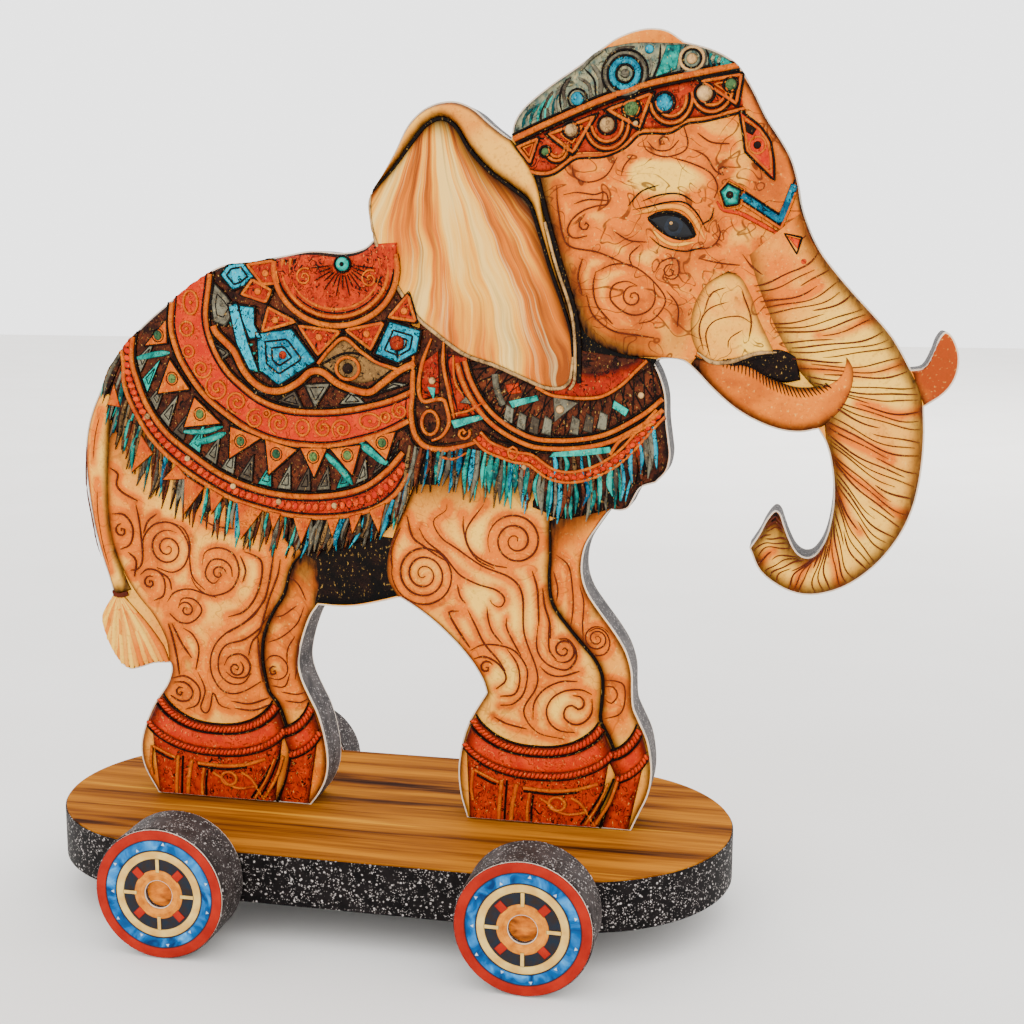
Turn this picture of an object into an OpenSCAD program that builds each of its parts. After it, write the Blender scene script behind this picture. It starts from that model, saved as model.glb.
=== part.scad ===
// Board-cut elephant on a rolling deck.
//
// A thick flat board is sawn to the outline of a walking elephant and carries a printed
// sheet on each side. Two tabs under each foot are glued into mortises in a deck with
// round ends. The deck rolls on four disc wheels, glued in pairs onto two dowel axles
// that turn in bores through the thickness of the deck.
//
// Frame: millimetres, +X towards the trunk, +Y to the elephant's left, +Z up. The origin is
// on the ground, under the middle of the whole object's length and width.

/* [Elephant board] */
// Height of the elephant above the deck
elephant_h = 183.4; // [130:0.1:220]
// Thickness of the sawn board, without its printed sheets
board_t = 9.4; // [5:0.1:16]
// Thickness of each printed sheet on the elephant
elephant_print_t = 0.3; // [0.1:0.1:0.6]
// Depth of the tabs under the feet
tab_depth = 7; // [4:0.5:8]
// Gap round a tab in its mortise
tab_gap = 0.1; // [0.05:0.05:0.3]

/* [Deck] */
// Length of the deck over its round ends
deck_l = 168; // [140:1:220]
// Width of the deck
deck_w = 74; // [50:1:110]
// Thickness of the deck, with its printed sheet
deck_t = 12; // [11:0.5:18]
// Thickness of the printed sheet on the deck
deck_print_t = 0.4; // [0.1:0.1:0.6]
// Distance from each sheet's edge to the edge of the wood
print_inset = 0.3; // [0.1:0.1:0.6]

/* [Wheels and axles] */
// Diameter of a wheel
wheel_d = 30.5; // [20:0.5:40]
// Thickness of a wheel, with its printed sheets
wheel_t = 12; // [6:0.5:18]
// Thickness of each printed sheet on a wheel
wheel_print_t = 0.3; // [0.1:0.1:0.6]
// Gap between a wheel and the side of the deck
wheel_gap = 1; // [0.5:0.1:3]
// Small bevel on a wheel's rims
wheel_bevel = 0.3; // [0.1:0.1:0.8]
// Diameter of an axle dowel
axle_d = 6.4; // [4:0.1:8]
// Radial clearance between an axle and its bore in the deck
axle_clearance = 0.08; // [0.02:0.01:0.1]
// Depth of an axle's end below the wheel's outer face
axle_recess = 1.2; // [0.2:0.1:3]
// Distance of the rear axle ahead of the middle of the rear sole
rear_axle_ahead = 0.6; // [-3:0.1:3]
// Distance of the front axle ahead of the middle of the front sole
front_axle_ahead = 2.8; // [-3:0.1:3]
// Wood between an axle bore and the nearest mortise
bore_wall = 3; // [2:0.5:5]
// Distance from a sole's end to the nearest tab
tab_end = 3; // [1:0.5:4]

/* [Hidden] */
$fn = 96;

// A cut that goes right through runs this far past the faces
past = 1;

// --- The outline, drawn with x = 0 at the middle of the deck and z = 0 at its top ---

// Height at which the outline below is drawn; elephant_h scales it
drawn_h = 183.4;
// Straight pieces used for each stretch between two chosen points of a curve
curve_steps = 4;
// Ends of the rear sole and of the front sole, where they stand on the deck
rear_sole = [-60.5, -19.8];
front_sole = [20.2, 60.2];

// Each run is a smooth curve; a corner lies where one run ends and the next begins
heel_and_hock = [
    [rear_sole[0], 0], [-63.9, 6], [-64.9, 11], [-64, 16.2], [-61.2, 22.8],
    [-57.4, 28.4], [-56, 32], [-56.1, 34.2]
];
tail_tuft = [
    [-56.1, 34.2], [-60.5, 33.8], [-64.2, 32.5], [-67.4, 32], [-70.3, 34.4],
    [-72.6, 38.6], [-74.2, 44.3], [-73.2, 47.4], [-70.7, 51]
];
tail_rump_and_back = [
    [-70.7, 51], [-71.8, 55.2], [-73.7, 61.5], [-75.4, 69], [-76.5, 78], [-76.8, 86],
    [-75.5, 94], [-72.2, 101.8], [-67, 110.6], [-60.3, 117.8], [-52.2, 124.2],
    [-45.3, 129], [-39.5, 132.2], [-32, 133.1], [-24.2, 134.5], [-17, 135.7],
    [-9.5, 135.2], [-4.5, 136.2], [-1.8, 138.3]
];
near_ear = [
    [-1.8, 138.3], [-2.9, 143], [-3.2, 146.8], [-1.5, 149.9], [3.2, 157.8],
    [6.5, 163.9], [11, 167.7], [16.7, 168.9], [21.5, 167.3], [25.8, 163.7], [30.4, 160.3]
];
cap_back = [
    [30.4, 160.3], [31.2, 164.2], [33.8, 167.7], [39.4, 172], [45.5, 175.9], [50.6, 179.5]
];
far_ear = [
    [50.6, 179.5], [54, 181.6], [58, 183], [61.6, 183.4], [65.2, 182.7], [68.6, 180.4]
];
brow_and_trunk = [
    [68.6, 180.4], [74, 178.9], [78, 177], [81, 174.5], [84.2, 169.2], [86.9, 164],
    [89.8, 159.8], [92.4, 155.4], [94, 150.5], [95.4, 144.2], [98.9, 136.4],
    [105, 128.7], [113.3, 119.8], [116.6, 115.4], [119.5, 110.3]
];
far_tusk = [
    [119.5, 110.3], [122.3, 111], [124, 114.2], [124.9, 117], [126.3, 118.6],
    [128.1, 117], [129.4, 113], [128.8, 108.5], [126.4, 105], [122.6, 102.3]
];
trunk_front = [
    [122.6, 102.3], [123, 95], [122.6, 87], [121.2, 79.4], [118.2, 72.5], [113.3, 66.1],
    [107, 61.3], [100, 59.2], [94, 60.3], [88.5, 64.1], [85.9, 69.5]
];
trunk_tip = [
    [85.9, 69.5], [88, 72.9], [89.4, 75.9], [91.2, 78.2], [92.6, 77.6], [93.6, 75],
    [94.7, 72.2], [96.2, 69.4], [98, 68], [99.9, 68.2], [101.5, 70], [102.9, 73.2],
    [103.8, 78], [104, 83], [103.3, 89], [102, 93.6], [100.2, 96.8]
];
lip_and_chin = [
    [100.2, 96.8], [96, 96], [91, 96.6], [85.6, 98.7], [81, 101.5], [76.5, 105.4],
    [73, 109], [70, 111.4], [66.5, 111.9], [63.3, 111.3]
];
bib = [
    [63.3, 111.3], [65, 108], [66.3, 103.5], [66.6, 98], [67.3, 93], [67.6, 89.8],
    [66.8, 86.3], [64.4, 83.6]
];
bib_tassels = [
    [64.4, 83.6], [61.2, 82.5], [59.6, 80], [58.4, 77.7], [56.5, 76.9], [54.2, 77.2]
];
front_shin = [
    [54.2, 77.2], [51.3, 73], [48.8, 69], [47.8, 65], [47.9, 61], [49.3, 57],
    [52.3, 52.7], [55.6, 48.3], [58.3, 43.9], [59.8, 39], [60, 34.5], [60.3, 30.5],
    [61.6, 27.4], [63.8, 22.5], [64.8, 17], [64.8, 12.5], [63.9, 8.5], [62.2, 4.6],
    [front_sole[1], 0]
];
front_heel = [
    [front_sole[0], 0], [18.6, 5.5], [18, 11], [18.4, 16], [19.6, 21.5], [21.6, 26.2],
    [24.9, 31.7]
];
front_calf = [
    [24.9, 31.7], [23.8, 35], [21.3, 39], [17.6, 43.3], [12.5, 48], [7.8, 51.4],
    [3.6, 53.9]
];
belly = [[3.6, 53.9], [-1, 52.6], [-7, 51.2], [-12, 50.8], [-16.9, 51]];
rear_shin = [
    [-16.9, 51], [-19, 48], [-20.8, 43.3], [-21.9, 39], [-22.2, 35.5], [-21.3, 31.7],
    [-19.2, 27.2], [-17.4, 23.4], [-15.9, 18], [-15.1, 12], [-15.7, 7], [-17.6, 3],
    [rear_sole[1], 0]
];

runs = [
    heel_and_hock, tail_tuft, tail_rump_and_back, near_ear, cap_back, far_ear,
    brow_and_trunk, far_tusk, trunk_front, trunk_tip, lip_and_chin, bib, bib_tassels,
    front_shin, front_heel, front_calf, belly, rear_shin
];

// Point at t, from 0 to 1, of the smooth curve that runs from b to c between a and d
function blend_point(a, b, c, d, t) =
    0.5 * (2 * b + (c - a) * t + (2 * a - 5 * b + 4 * c - d) * t * t
        + (3 * b - a - 3 * c + d) * t * t * t);

// The smooth curve through every point of p, without its last point
function smooth_run(p) = [
    for (i = [0 : len(p) - 2])
        for (k = [0 : curve_steps - 1])
            blend_point(
                i == 0 ? 2 * p[0] - p[1] : p[i - 1],
                p[i],
                p[i + 1],
                i == len(p) - 2 ? 2 * p[i + 1] - p[i] : p[i + 2],
                k / curve_steps
            )
];

// The curve's own last point is a corner where a run doesn't meet the next one's start
function run_end(i) =
    runs[i][len(runs[i]) - 1] == runs[(i + 1) % len(runs)][0] ? [] : [runs[i][len(runs[i]) - 1]];

draw_scale = elephant_h / drawn_h;
outline = [
    for (i = [0 : len(runs) - 1])
        for (p = concat(smooth_run(runs[i]), run_end(i)))
            p * draw_scale
];
outline_xs = [for (p = outline) p[0]];

// --- Places that follow from the sizes ---

// The axles run under the soles
rear_axle_x = (rear_sole[0] + rear_sole[1]) / 2 * draw_scale + rear_axle_ahead;
front_axle_x = (front_sole[0] + front_sole[1]) / 2 * draw_scale + front_axle_ahead;
axle_z = -deck_t / 2;
bore_r = axle_d / 2 + axle_clearance;

// A sole's two tabs, each [low x, high x], one on each side of the axle bore
function tab_spans(sole, axle_x) = [
    [sole[0] * draw_scale + tab_end, axle_x - bore_r - bore_wall],
    [axle_x + bore_r + bore_wall, sole[1] * draw_scale - tab_end]
];
all_tabs = concat(
    tab_spans(rear_sole, rear_axle_x),
    tab_spans(front_sole, front_axle_x)
);

wheel_y = deck_w / 2 + wheel_gap + wheel_t / 2;
axle_l = 2 * (wheel_y + wheel_t / 2 - axle_recess);
deck_top_z = wheel_d / 2 - axle_z;
x_low = min(concat(outline_xs, [-deck_l / 2]));
x_high = max(concat(outline_xs, [deck_l / 2]));
x_mid = (x_low + x_high) / 2;

// --- Shared shapes ---

// Moves what is drawn about the deck's middle and top into the object's own frame
module placed() {
    translate([-x_mid, 0, deck_top_z])
        children();
}

// The elephant's outline as a sheet, from y to y + thickness
module elephant_sheet(y, thickness) {
    translate([0, y + thickness, 0])
        rotate([90, 0, 0])
            linear_extrude(thickness)
                polygon(outline);
}

// All four tabs, from their feet up to a height above the deck, grown by a gap all round
module foot_tabs(top, gap) {
    for (tab = all_tabs)
        translate([tab[0] - gap, -board_t / 2 - gap, -tab_depth - gap])
            cube([tab[1] - tab[0] + 2 * gap, board_t + 2 * gap, top + tab_depth + gap]);
}

// Deck outline: a bar with half-round ends, drawn back from its edge by an inset
module deck_outline(inset) {
    end_x = deck_l / 2 - deck_w / 2;
    union() {
        square([2 * end_x, deck_w - 2 * inset], center = true);
        for (side = [-1, 1])
            translate([side * end_x, 0])
                circle(d = deck_w - 2 * inset);
    }
}

// A rod of diameter d along Y, centred on y = 0
module rod_y(d, length) {
    rotate([90, 0, 0])
        cylinder(d = d, h = length, center = true);
}

// Moves a shape drawn about Z at the wheel's middle to one wheel's place on its axle
module at_wheel(x, side) {
    placed()
        translate([x, side * wheel_y, axle_z])
            rotate([-90 * side, 0, 0])
                children();
}

// --- The pieces ---

module elephant_board() {
    color("dimgray")
        placed()
            union() {
                elephant_sheet(-board_t / 2, board_t);
                foot_tabs(past, 0);
            }
}

module elephant_right_print() {
    color("sandybrown")
        placed()
            elephant_sheet(-board_t / 2 - elephant_print_t, elephant_print_t);
}

module elephant_left_print() {
    color("sandybrown")
        placed()
            elephant_sheet(board_t / 2, elephant_print_t);
}

module deck_board() {
    color([0.16, 0.15, 0.15])
        placed()
            difference() {
                translate([0, 0, -deck_t])
                    linear_extrude(deck_t - deck_print_t)
                        deck_outline(0);
                for (x = [rear_axle_x, front_axle_x])
                    translate([x, 0, axle_z])
                        rod_y(2 * bore_r, deck_w + 2 * past);
                foot_tabs(past, tab_gap);
            }
}

module deck_top_print() {
    color("peru")
        placed()
            difference() {
                translate([0, 0, -deck_print_t])
                    linear_extrude(deck_print_t)
                        deck_outline(print_inset);
                foot_tabs(past, tab_gap);
            }
}

module axle(x) {
    color("burlywood")
        placed()
            translate([x, 0, axle_z])
                rod_y(axle_d, axle_l);
}

module front_axle() {
    axle(front_axle_x);
}

module rear_axle() {
    axle(rear_axle_x);
}

// Turned disc with bevelled rims and a bore that the axle is glued into
module wheel(x, side) {
    half = wheel_t / 2 - wheel_print_t;
    r = wheel_d / 2;
    color([0.24, 0.22, 0.21])
        at_wheel(x, side)
            rotate_extrude()
                polygon([
                    [axle_d / 2, -half],
                    [r - wheel_bevel, -half],
                    [r, -half + wheel_bevel],
                    [r, half - wheel_bevel],
                    [r - wheel_bevel, half],
                    [axle_d / 2, half]
                ]);
}

// Printed ring on a wheel; face is 1 on the wheel's outer side and -1 on its inner side
module wheel_print(x, side, face) {
    color("firebrick")
        at_wheel(x, side)
            translate([0, 0, face * (wheel_t - wheel_print_t) / 2])
                difference() {
                    cylinder(
                        r = wheel_d / 2 - wheel_bevel,
                        h = wheel_print_t,
                        center = true
                    );
                    cylinder(d = axle_d, h = wheel_print_t + 2 * past, center = true);
                }
}

module front_right_wheel() {
    wheel(front_axle_x, -1);
}

module front_left_wheel() {
    wheel(front_axle_x, 1);
}

module rear_right_wheel() {
    wheel(rear_axle_x, -1);
}

module rear_left_wheel() {
    wheel(rear_axle_x, 1);
}

elephant_board();
elephant_right_print();
elephant_left_print();
deck_board();
deck_top_print();
front_axle();
rear_axle();
front_right_wheel();
front_left_wheel();
rear_right_wheel();
rear_left_wheel();
wheel_print(front_axle_x, -1, 1);  // front_right_wheel_outer_print
wheel_print(front_axle_x, -1, -1);  // front_right_wheel_inner_print
wheel_print(front_axle_x, 1, 1);  // front_left_wheel_outer_print
wheel_print(front_axle_x, 1, -1);  // front_left_wheel_inner_print
wheel_print(rear_axle_x, -1, 1);  // rear_right_wheel_outer_print
wheel_print(rear_axle_x, -1, -1);  // rear_right_wheel_inner_print
wheel_print(rear_axle_x, 1, 1);  // rear_left_wheel_outer_print
wheel_print(rear_axle_x, 1, -1);  // rear_left_wheel_inner_print
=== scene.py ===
# %% [markdown]
# # A board-cut elephant on a rolling deck
#
# The real object is a flat board sawn to an elephant's outline, with a painted picture of
# carving on both faces, standing on a deck with four disc wheels. The sawn board, the deck, the
# axles and the wheels come from the CAD model and stay exactly as they are. This script gives
# them their paint, and lays the carved ornament over the board as a shallow relief: every
# strap, triangle, stud, tassel and drawn line is a small closed surface worked out with numpy.

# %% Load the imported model
import math

import bmesh
import bpy
import numpy as np
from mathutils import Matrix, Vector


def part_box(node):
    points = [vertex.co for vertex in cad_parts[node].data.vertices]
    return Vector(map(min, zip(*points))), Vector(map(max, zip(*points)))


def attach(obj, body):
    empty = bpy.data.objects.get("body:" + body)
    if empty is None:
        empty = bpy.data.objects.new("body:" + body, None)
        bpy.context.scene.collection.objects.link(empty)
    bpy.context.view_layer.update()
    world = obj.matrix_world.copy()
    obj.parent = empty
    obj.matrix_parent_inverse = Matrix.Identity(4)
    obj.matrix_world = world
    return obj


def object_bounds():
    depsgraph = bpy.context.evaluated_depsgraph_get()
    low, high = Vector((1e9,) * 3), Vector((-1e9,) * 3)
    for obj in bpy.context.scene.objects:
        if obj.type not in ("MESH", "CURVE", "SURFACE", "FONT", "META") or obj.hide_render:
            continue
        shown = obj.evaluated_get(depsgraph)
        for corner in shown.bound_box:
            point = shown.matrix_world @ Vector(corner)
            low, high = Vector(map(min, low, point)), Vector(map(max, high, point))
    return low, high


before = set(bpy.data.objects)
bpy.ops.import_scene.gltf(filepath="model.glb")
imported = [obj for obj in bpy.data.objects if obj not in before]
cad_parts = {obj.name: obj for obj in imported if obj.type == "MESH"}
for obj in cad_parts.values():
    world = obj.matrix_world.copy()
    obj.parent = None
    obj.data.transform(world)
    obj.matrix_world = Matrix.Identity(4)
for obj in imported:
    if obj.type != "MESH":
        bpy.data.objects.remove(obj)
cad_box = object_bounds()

# %% [markdown]
# ## One drawing board
#
# The relief is drawn flat, like a stencil: x runs along the deck from its middle, z goes up from
# the deck's top, both in millimetres, and a third number says how far a point stands proud of
# the elephant's printed face. The places of the deck and of the printed face are read from the
# CAD model, so the drawing lands on the board with no fitting.

# %% Places read from the CAD model
MM = 0.001
deck_low, deck_high = (np.array(corner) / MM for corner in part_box("deck_board"))
DECK_MIDDLE = (deck_low[0] + deck_high[0]) / 2
DECK_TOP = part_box("deck_top_print")[1][2] / MM
FACE = -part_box("elephant_right_print")[0][1] / MM
RIGHT = -1
LEFT = 1
BODY = "elephant_and_deck"
print(f"deck top at {DECK_TOP:.2f} mm, printed face {FACE:.2f} mm from the middle plane")


def on_face(drawn, side):
    """Turn (x, z, proud) rows in drawing millimetres into metres on one face of the board."""
    x, z, proud = drawn[:, 0], drawn[:, 1], drawn[:, 2]
    return np.stack([
        (x + DECK_MIDDLE) * MM,
        side * (FACE + proud) * MM,
        (z + DECK_TOP) * MM,
    ], axis=1)


# %% [markdown]
# ## Curves through chosen points
#
# Every line of the drawing is a smooth curve through a few given points. A Catmull-Rom curve is
# the simplest that passes through all of them. Points are then spread evenly along the curve's
# length, so that two curves can be paired point by point. The silhouette isn't chosen again: it
# is walked out of the CAD sheet's own mesh.

# %% Curve helpers
CURVE_STEPS = 12


def curve(points):
    """Smooth curve through points: cubic blends whose slope at a point follows its neighbours."""
    p = np.array(points, float)
    p = np.vstack([2 * p[0] - p[1], p, 2 * p[-1] - p[-2]])
    before, here, after, beyond = p[:-3, None], p[1:-2, None], p[2:-1, None], p[3:, None]
    t = np.linspace(0, 1, CURVE_STEPS, endpoint=False)[None, :, None]
    blend = 0.5 * (
        2 * here + (after - before) * t
        + (2 * before - 5 * here + 4 * after - beyond) * t ** 2
        + (3 * here - before - 3 * after + beyond) * t ** 3
    )
    return np.vstack([blend.reshape(-1, 2), p[-2]])


def at(line, s):
    """Points at shares s, from 0 to 1, of a line's length."""
    step = np.hypot(*np.diff(line, axis=0).T)
    run = np.concatenate([[0], np.cumsum(step)])
    run = run / run[-1]
    return np.stack([np.interp(s, run, line[:, 0]), np.interp(s, run, line[:, 1])], axis=1)


def length(line):
    """Length of a line in millimetres."""
    return float(np.hypot(*np.diff(line, axis=0).T).sum())


def normals(line):
    """Unit vectors a quarter turn to the left of a line's direction."""
    way = np.gradient(line, axis=0)
    way = way / np.maximum(np.hypot(way[:, 0], way[:, 1]), 1e-9)[:, None]
    return np.stack([-way[:, 1], way[:, 0]], axis=1)


def shifted(line, distance):
    """The line moved sideways, to its left where distance is positive."""
    return line + normals(line) * distance


def between(a, b, share, count=120):
    """The line that lies a share of the way from line a to line b."""
    s = np.linspace(0, 1, count)
    return at(a, s) * (1 - share) + at(b, s) * share


def oval(centre, half_x, half_z, start=0.0, end=2 * math.pi):
    """An oval line about a centre, between two angles."""
    angle = np.linspace(start, end, 60)
    return np.stack([centre[0] + half_x * np.cos(angle), centre[1] + half_z * np.sin(angle)], 1)


def spiral(centre, radius, turns=2.0, start=0.0, hand=1):
    """A line that winds inwards: its radius shrinks evenly with its angle."""
    u = np.linspace(0, 1, int(26 * turns))
    angle = start + hand * 2 * math.pi * turns * u
    r = radius * (1 - 0.93 * u)
    return np.array(centre) + np.stack([np.cos(angle) * r, np.sin(angle) * r], axis=1)


def silhouette():
    """Walk the rim of the right-hand sheet's flat face, as x and z in drawing millimetres."""
    mesh = bpy.data.objects["elephant_right_print"].data
    work = bmesh.new()
    work.from_mesh(mesh)
    bmesh.ops.remove_doubles(work, verts=work.verts, dist=1e-7)
    front = min(v.co.y for v in work.verts)
    flat = {f for f in work.faces if all(abs(v.co.y - front) < 1e-6 for v in f.verts)}
    rim_edges = [e for e in work.edges if sum(f in flat for f in e.link_faces) == 1]
    links = {}
    for e in rim_edges:
        a, b = e.verts
        links.setdefault(a, []).append(b)
        links.setdefault(b, []).append(a)
    start = next(iter(links))
    loop = [start, links[start][0]]
    while loop[-1] is not start:
        ahead = [v for v in links[loop[-1]] if v is not loop[-2]]
        loop.append(ahead[0])
    rim_points = np.array([[v.co.x, v.co.z] for v in loop[:-1]]) / MM
    work.free()
    rim_points -= [DECK_MIDDLE, DECK_TOP]
    area = np.sum(rim_points[:, 0] * np.roll(rim_points[:, 1], -1)
                  - rim_points[:, 1] * np.roll(rim_points[:, 0], -1)) / 2
    return rim_points if area < 0 else rim_points[::-1]


SILHOUETTE = silhouette()
WHITE_RIM = 0.35
RIM_ROOM = 0.25
print(f"silhouette: {len(SILHOUETTE)} points, walked clockwise")


def gap_to_rim(points):
    """Each point's distance to the silhouette's nearest corner, negative outside the silhouette.

    A point is inside where a level line to its right crosses the rim an odd number of times.
    """
    a, b = SILHOUETTE, np.roll(SILHOUETTE, -1, axis=0)
    x, z = points[:, 0, None], points[:, 1, None]
    spans = (a[:, 1] > z) != (b[:, 1] > z)
    slope = (b[:, 0] - a[:, 0]) / np.where(a[:, 1] == b[:, 1], 1, b[:, 1] - a[:, 1])
    crossings = (spans & (x < a[:, 0] + (z - a[:, 1]) * slope)).sum(axis=1)
    near = np.hypot(x - a[:, 0], z - a[:, 1]).min(axis=1)
    return np.where(crossings % 2 == 1, near, -near)


def inside(line, room=0.6):
    """Keep the points of a line that lie inside the silhouette, at least room from its rim."""
    return line[gap_to_rim(line) > room]


def fenced(points):
    """Draw in each point that lies beyond the sheet's white rim, to the rim's nearest point.

    The nearest point of every stretch of the rim is the foot of a square dropped on it, held
    between the stretch's ends; of all those feet the closest one is taken.
    """
    flat = points[:, :2]
    stray = gap_to_rim(flat) < RIM_ROOM
    if not stray.any():
        return points
    c = shifted(SILHOUETTE, -RIM_ROOM)
    run = np.roll(c, -1, axis=0) - c
    to = flat[stray][:, None] - c
    share = np.clip((to * run).sum(axis=2) / np.maximum((run ** 2).sum(axis=1), 1e-9), 0, 1)
    feet = c + share[:, :, None] * run
    best = np.hypot(*np.moveaxis(feet - flat[stray][:, None], 2, 0)).argmin(axis=1)
    points = points.copy()
    points[stray, :2] = feet[np.arange(len(best)), best]
    return points


def kept(lines, room=0.6):
    """The parts of several lines that lie inside the silhouette, where any is left."""
    cut = [inside(line, room) for line in lines]
    return [line for line in cut if len(line) > 3]


def rim(start, end, inset=WHITE_RIM):
    """Clockwise stretch of the silhouette from near start to near end, drawn in by inset."""
    gap = [np.hypot(*(SILHOUETTE - np.array(p)).T).argmin() for p in (start, end)]
    loop = np.roll(SILHOUETTE, -gap[0], axis=0)
    count = (gap[1] - gap[0]) % len(SILHOUETTE)
    return shifted(loop[:count + 1], -inset)


# %% [markdown]
# ## Small solids of the relief
#
# There are five ways to make a raised shape here, and each returns plain arrays: points, faces,
# a pair of surface coordinates (s, t), a shade from 0 (drawn shadow) to 1 (full colour), and a
# tint that a finish uses to vary its colour; on a patch the tint also holds painted highlights
# and the painted shade beside drawn lines. All of them are closed underneath.
#
# - a *patch* is stretched between two lines, like cloth between two rails
# - a *ribbon* carries a rounded profile along a line
# - a *boss* is a low dome on a round or oval foot
# - a *tile* is a flat shape with a bevelled edge
# - a *sheet* is thin and flat, for an outline that is neither round nor ruled

# %% Surface helpers
SUNK = 0.06


def part(points, faces, uv, shade, tint):
    """Bundle one solid's arrays, spreading a single shade or tint over all of its points."""
    count = len(points)
    return {
        "points": points,
        "faces": faces,
        "uv": uv,
        "shade": np.broadcast_to(shade, count).astype(float),
        "tint": np.broadcast_to(tint, count).astype(float),
    }


def quads(index):
    """Four-sided faces between neighbours in a table of point numbers."""
    corners = [index[:-1, :-1], index[:-1, 1:], index[1:, 1:], index[1:, :-1]]
    return np.stack(corners, axis=-1).reshape(-1, 4).tolist()


def grid_faces(rows, cols, wrap=False):
    """Quads between neighbouring points of a grid, joined round the rows where wrap is true."""
    index = np.arange(rows * cols).reshape(rows, cols)
    return quads(np.vstack([index, index[:1]]) if wrap else index)


def crowded(count):
    """Shares from 0 to 1 that lie closer together towards both ends."""
    return 0.5 - 0.5 * np.cos(np.linspace(0, math.pi, count))


def eased(distance, width):
    """0 at the edge, rising smoothly to 1 at width and beyond."""
    u = np.clip(distance / width, 0, 1)
    return u * u * (3 - 2 * u)


def patch(a, b, top=0.5, rim_w=0.9, crown=0.0, falls="ab01", dark=None, rows=70, cols=18,
          tint=0.5, deep=0.0, painted_shade_lines=None, highlights_and_tones=(), hollows=()):
    """Surface (1 - t) a(s) + t b(s), as high as top, with a crown of 4 t (1 - t).

    It falls in a quarter round over rim_w to the board along the edges named in falls: a, b, 0
    (the start of both lines) and 1 (their end). dark gives the width of the drawn shadow along
    an edge, and deep is the shade that is left at the very edge. Close to the lines in
    painted_shade_lines the tint sinks towards 0, a painted shade beside each drawn line. Inside
    the ovals in highlights_and_tones it rises towards 1, a painted highlight, and sinks where an
    amount is below 0, and inside those in hollows the drawn shadow deepens.
    """
    s, t = crowded(rows), crowded(cols)
    rail_a, rail_b = at(a, s), at(b, s)
    plan = rail_a[:, None] * (1 - t)[None, :, None] + rail_b[:, None] * t[None, :, None]
    across = np.hypot(*(rail_b - rail_a).T)[:, None]
    along = (length(a) + length(b)) / 2
    one = np.ones((rows, cols))
    gap = {
        "a": across * t[None],
        "b": across * (1 - t)[None],
        "0": along * s[:, None] * one,
        "1": along * (1 - s)[:, None] * one,
    }
    nearest = np.min([gap[e] for e in falls], axis=0) if falls else one * rim_w
    u = 1 - np.clip(nearest / rim_w, 0, 1)
    fall = np.sqrt(np.clip(1 - u * u, 0, 1))
    height = fall * (top + crown * 4 * (t * (1 - t))[None])
    shade = one.copy()
    for edge, width in (dark or {}).items():
        shade *= deep + (1 - deep) * eased(gap[edge], width)
    tints = np.broadcast_to(tint, (rows, cols)).astype(float)

    def closeness(x, z, half_x, half_z):
        """1 in the middle of an oval, falling to 0 at its edge."""
        reach = ((plan[..., 0] - x) / half_x) ** 2 + ((plan[..., 1] - z) / half_z) ** 2
        return 1 - eased(np.sqrt(reach), 1.0)

    # Painted highlights: inside these ovals the tint rises towards cream; an amount below 0 makes the oval
    # more orange.
    for *spot, amount in highlights_and_tones:
        tints = tints + amount * closeness(*spot)
    for *spot, amount in hollows:
        shade = shade * (1 - amount * closeness(*spot))
    # Painted shade beside each drawn line: within 2.4 mm of it the tint sinks towards orange.
    if painted_shade_lines:
        drawn = np.vstack([at(line, np.linspace(0, 1, int(length(line)) + 2)) for line in painted_shade_lines])
        away = np.sqrt(np.min((plan[..., 0, None] - drawn[:, 0]) ** 2
                              + (plan[..., 1, None] - drawn[:, 1]) ** 2, axis=-1))
        tints = tints - 0.5 * (1 - eased(away, 2.4))
    surface = np.dstack([plan, height]).reshape(-1, 3)
    index = np.arange(rows * cols).reshape(rows, cols)
    loop = np.concatenate([index[:, 0], index[-1, 1:], index[-2::-1, -1], index[0, -2:0:-1]])
    foot = surface[loop].copy()
    foot[:, 2] = -SUNK
    below = rows * cols + np.arange(len(loop))
    wall = np.stack([loop, np.roll(loop, -1), np.roll(below, -1), below], axis=1).tolist()
    uv = np.dstack(np.meshgrid(s, t, indexing="ij")).reshape(-1, 2)
    tints = tints.reshape(-1)
    return part(
        np.vstack([surface, foot]),
        grid_faces(rows, cols) + wall + [below.tolist()],
        np.vstack([uv, uv[loop]]),
        np.concatenate([shade.reshape(-1), shade.reshape(-1)[loop]]),
        np.concatenate([tints, tints[loop]]),
    )


PROFILE = np.array([[-1, 0], [-0.72, 0.72], [0, 1], [0.72, 0.72], [1, 0]])
EDGE_SHADE = np.array([0.0, 0.72, 1.0, 0.72, 0.0])


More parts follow.
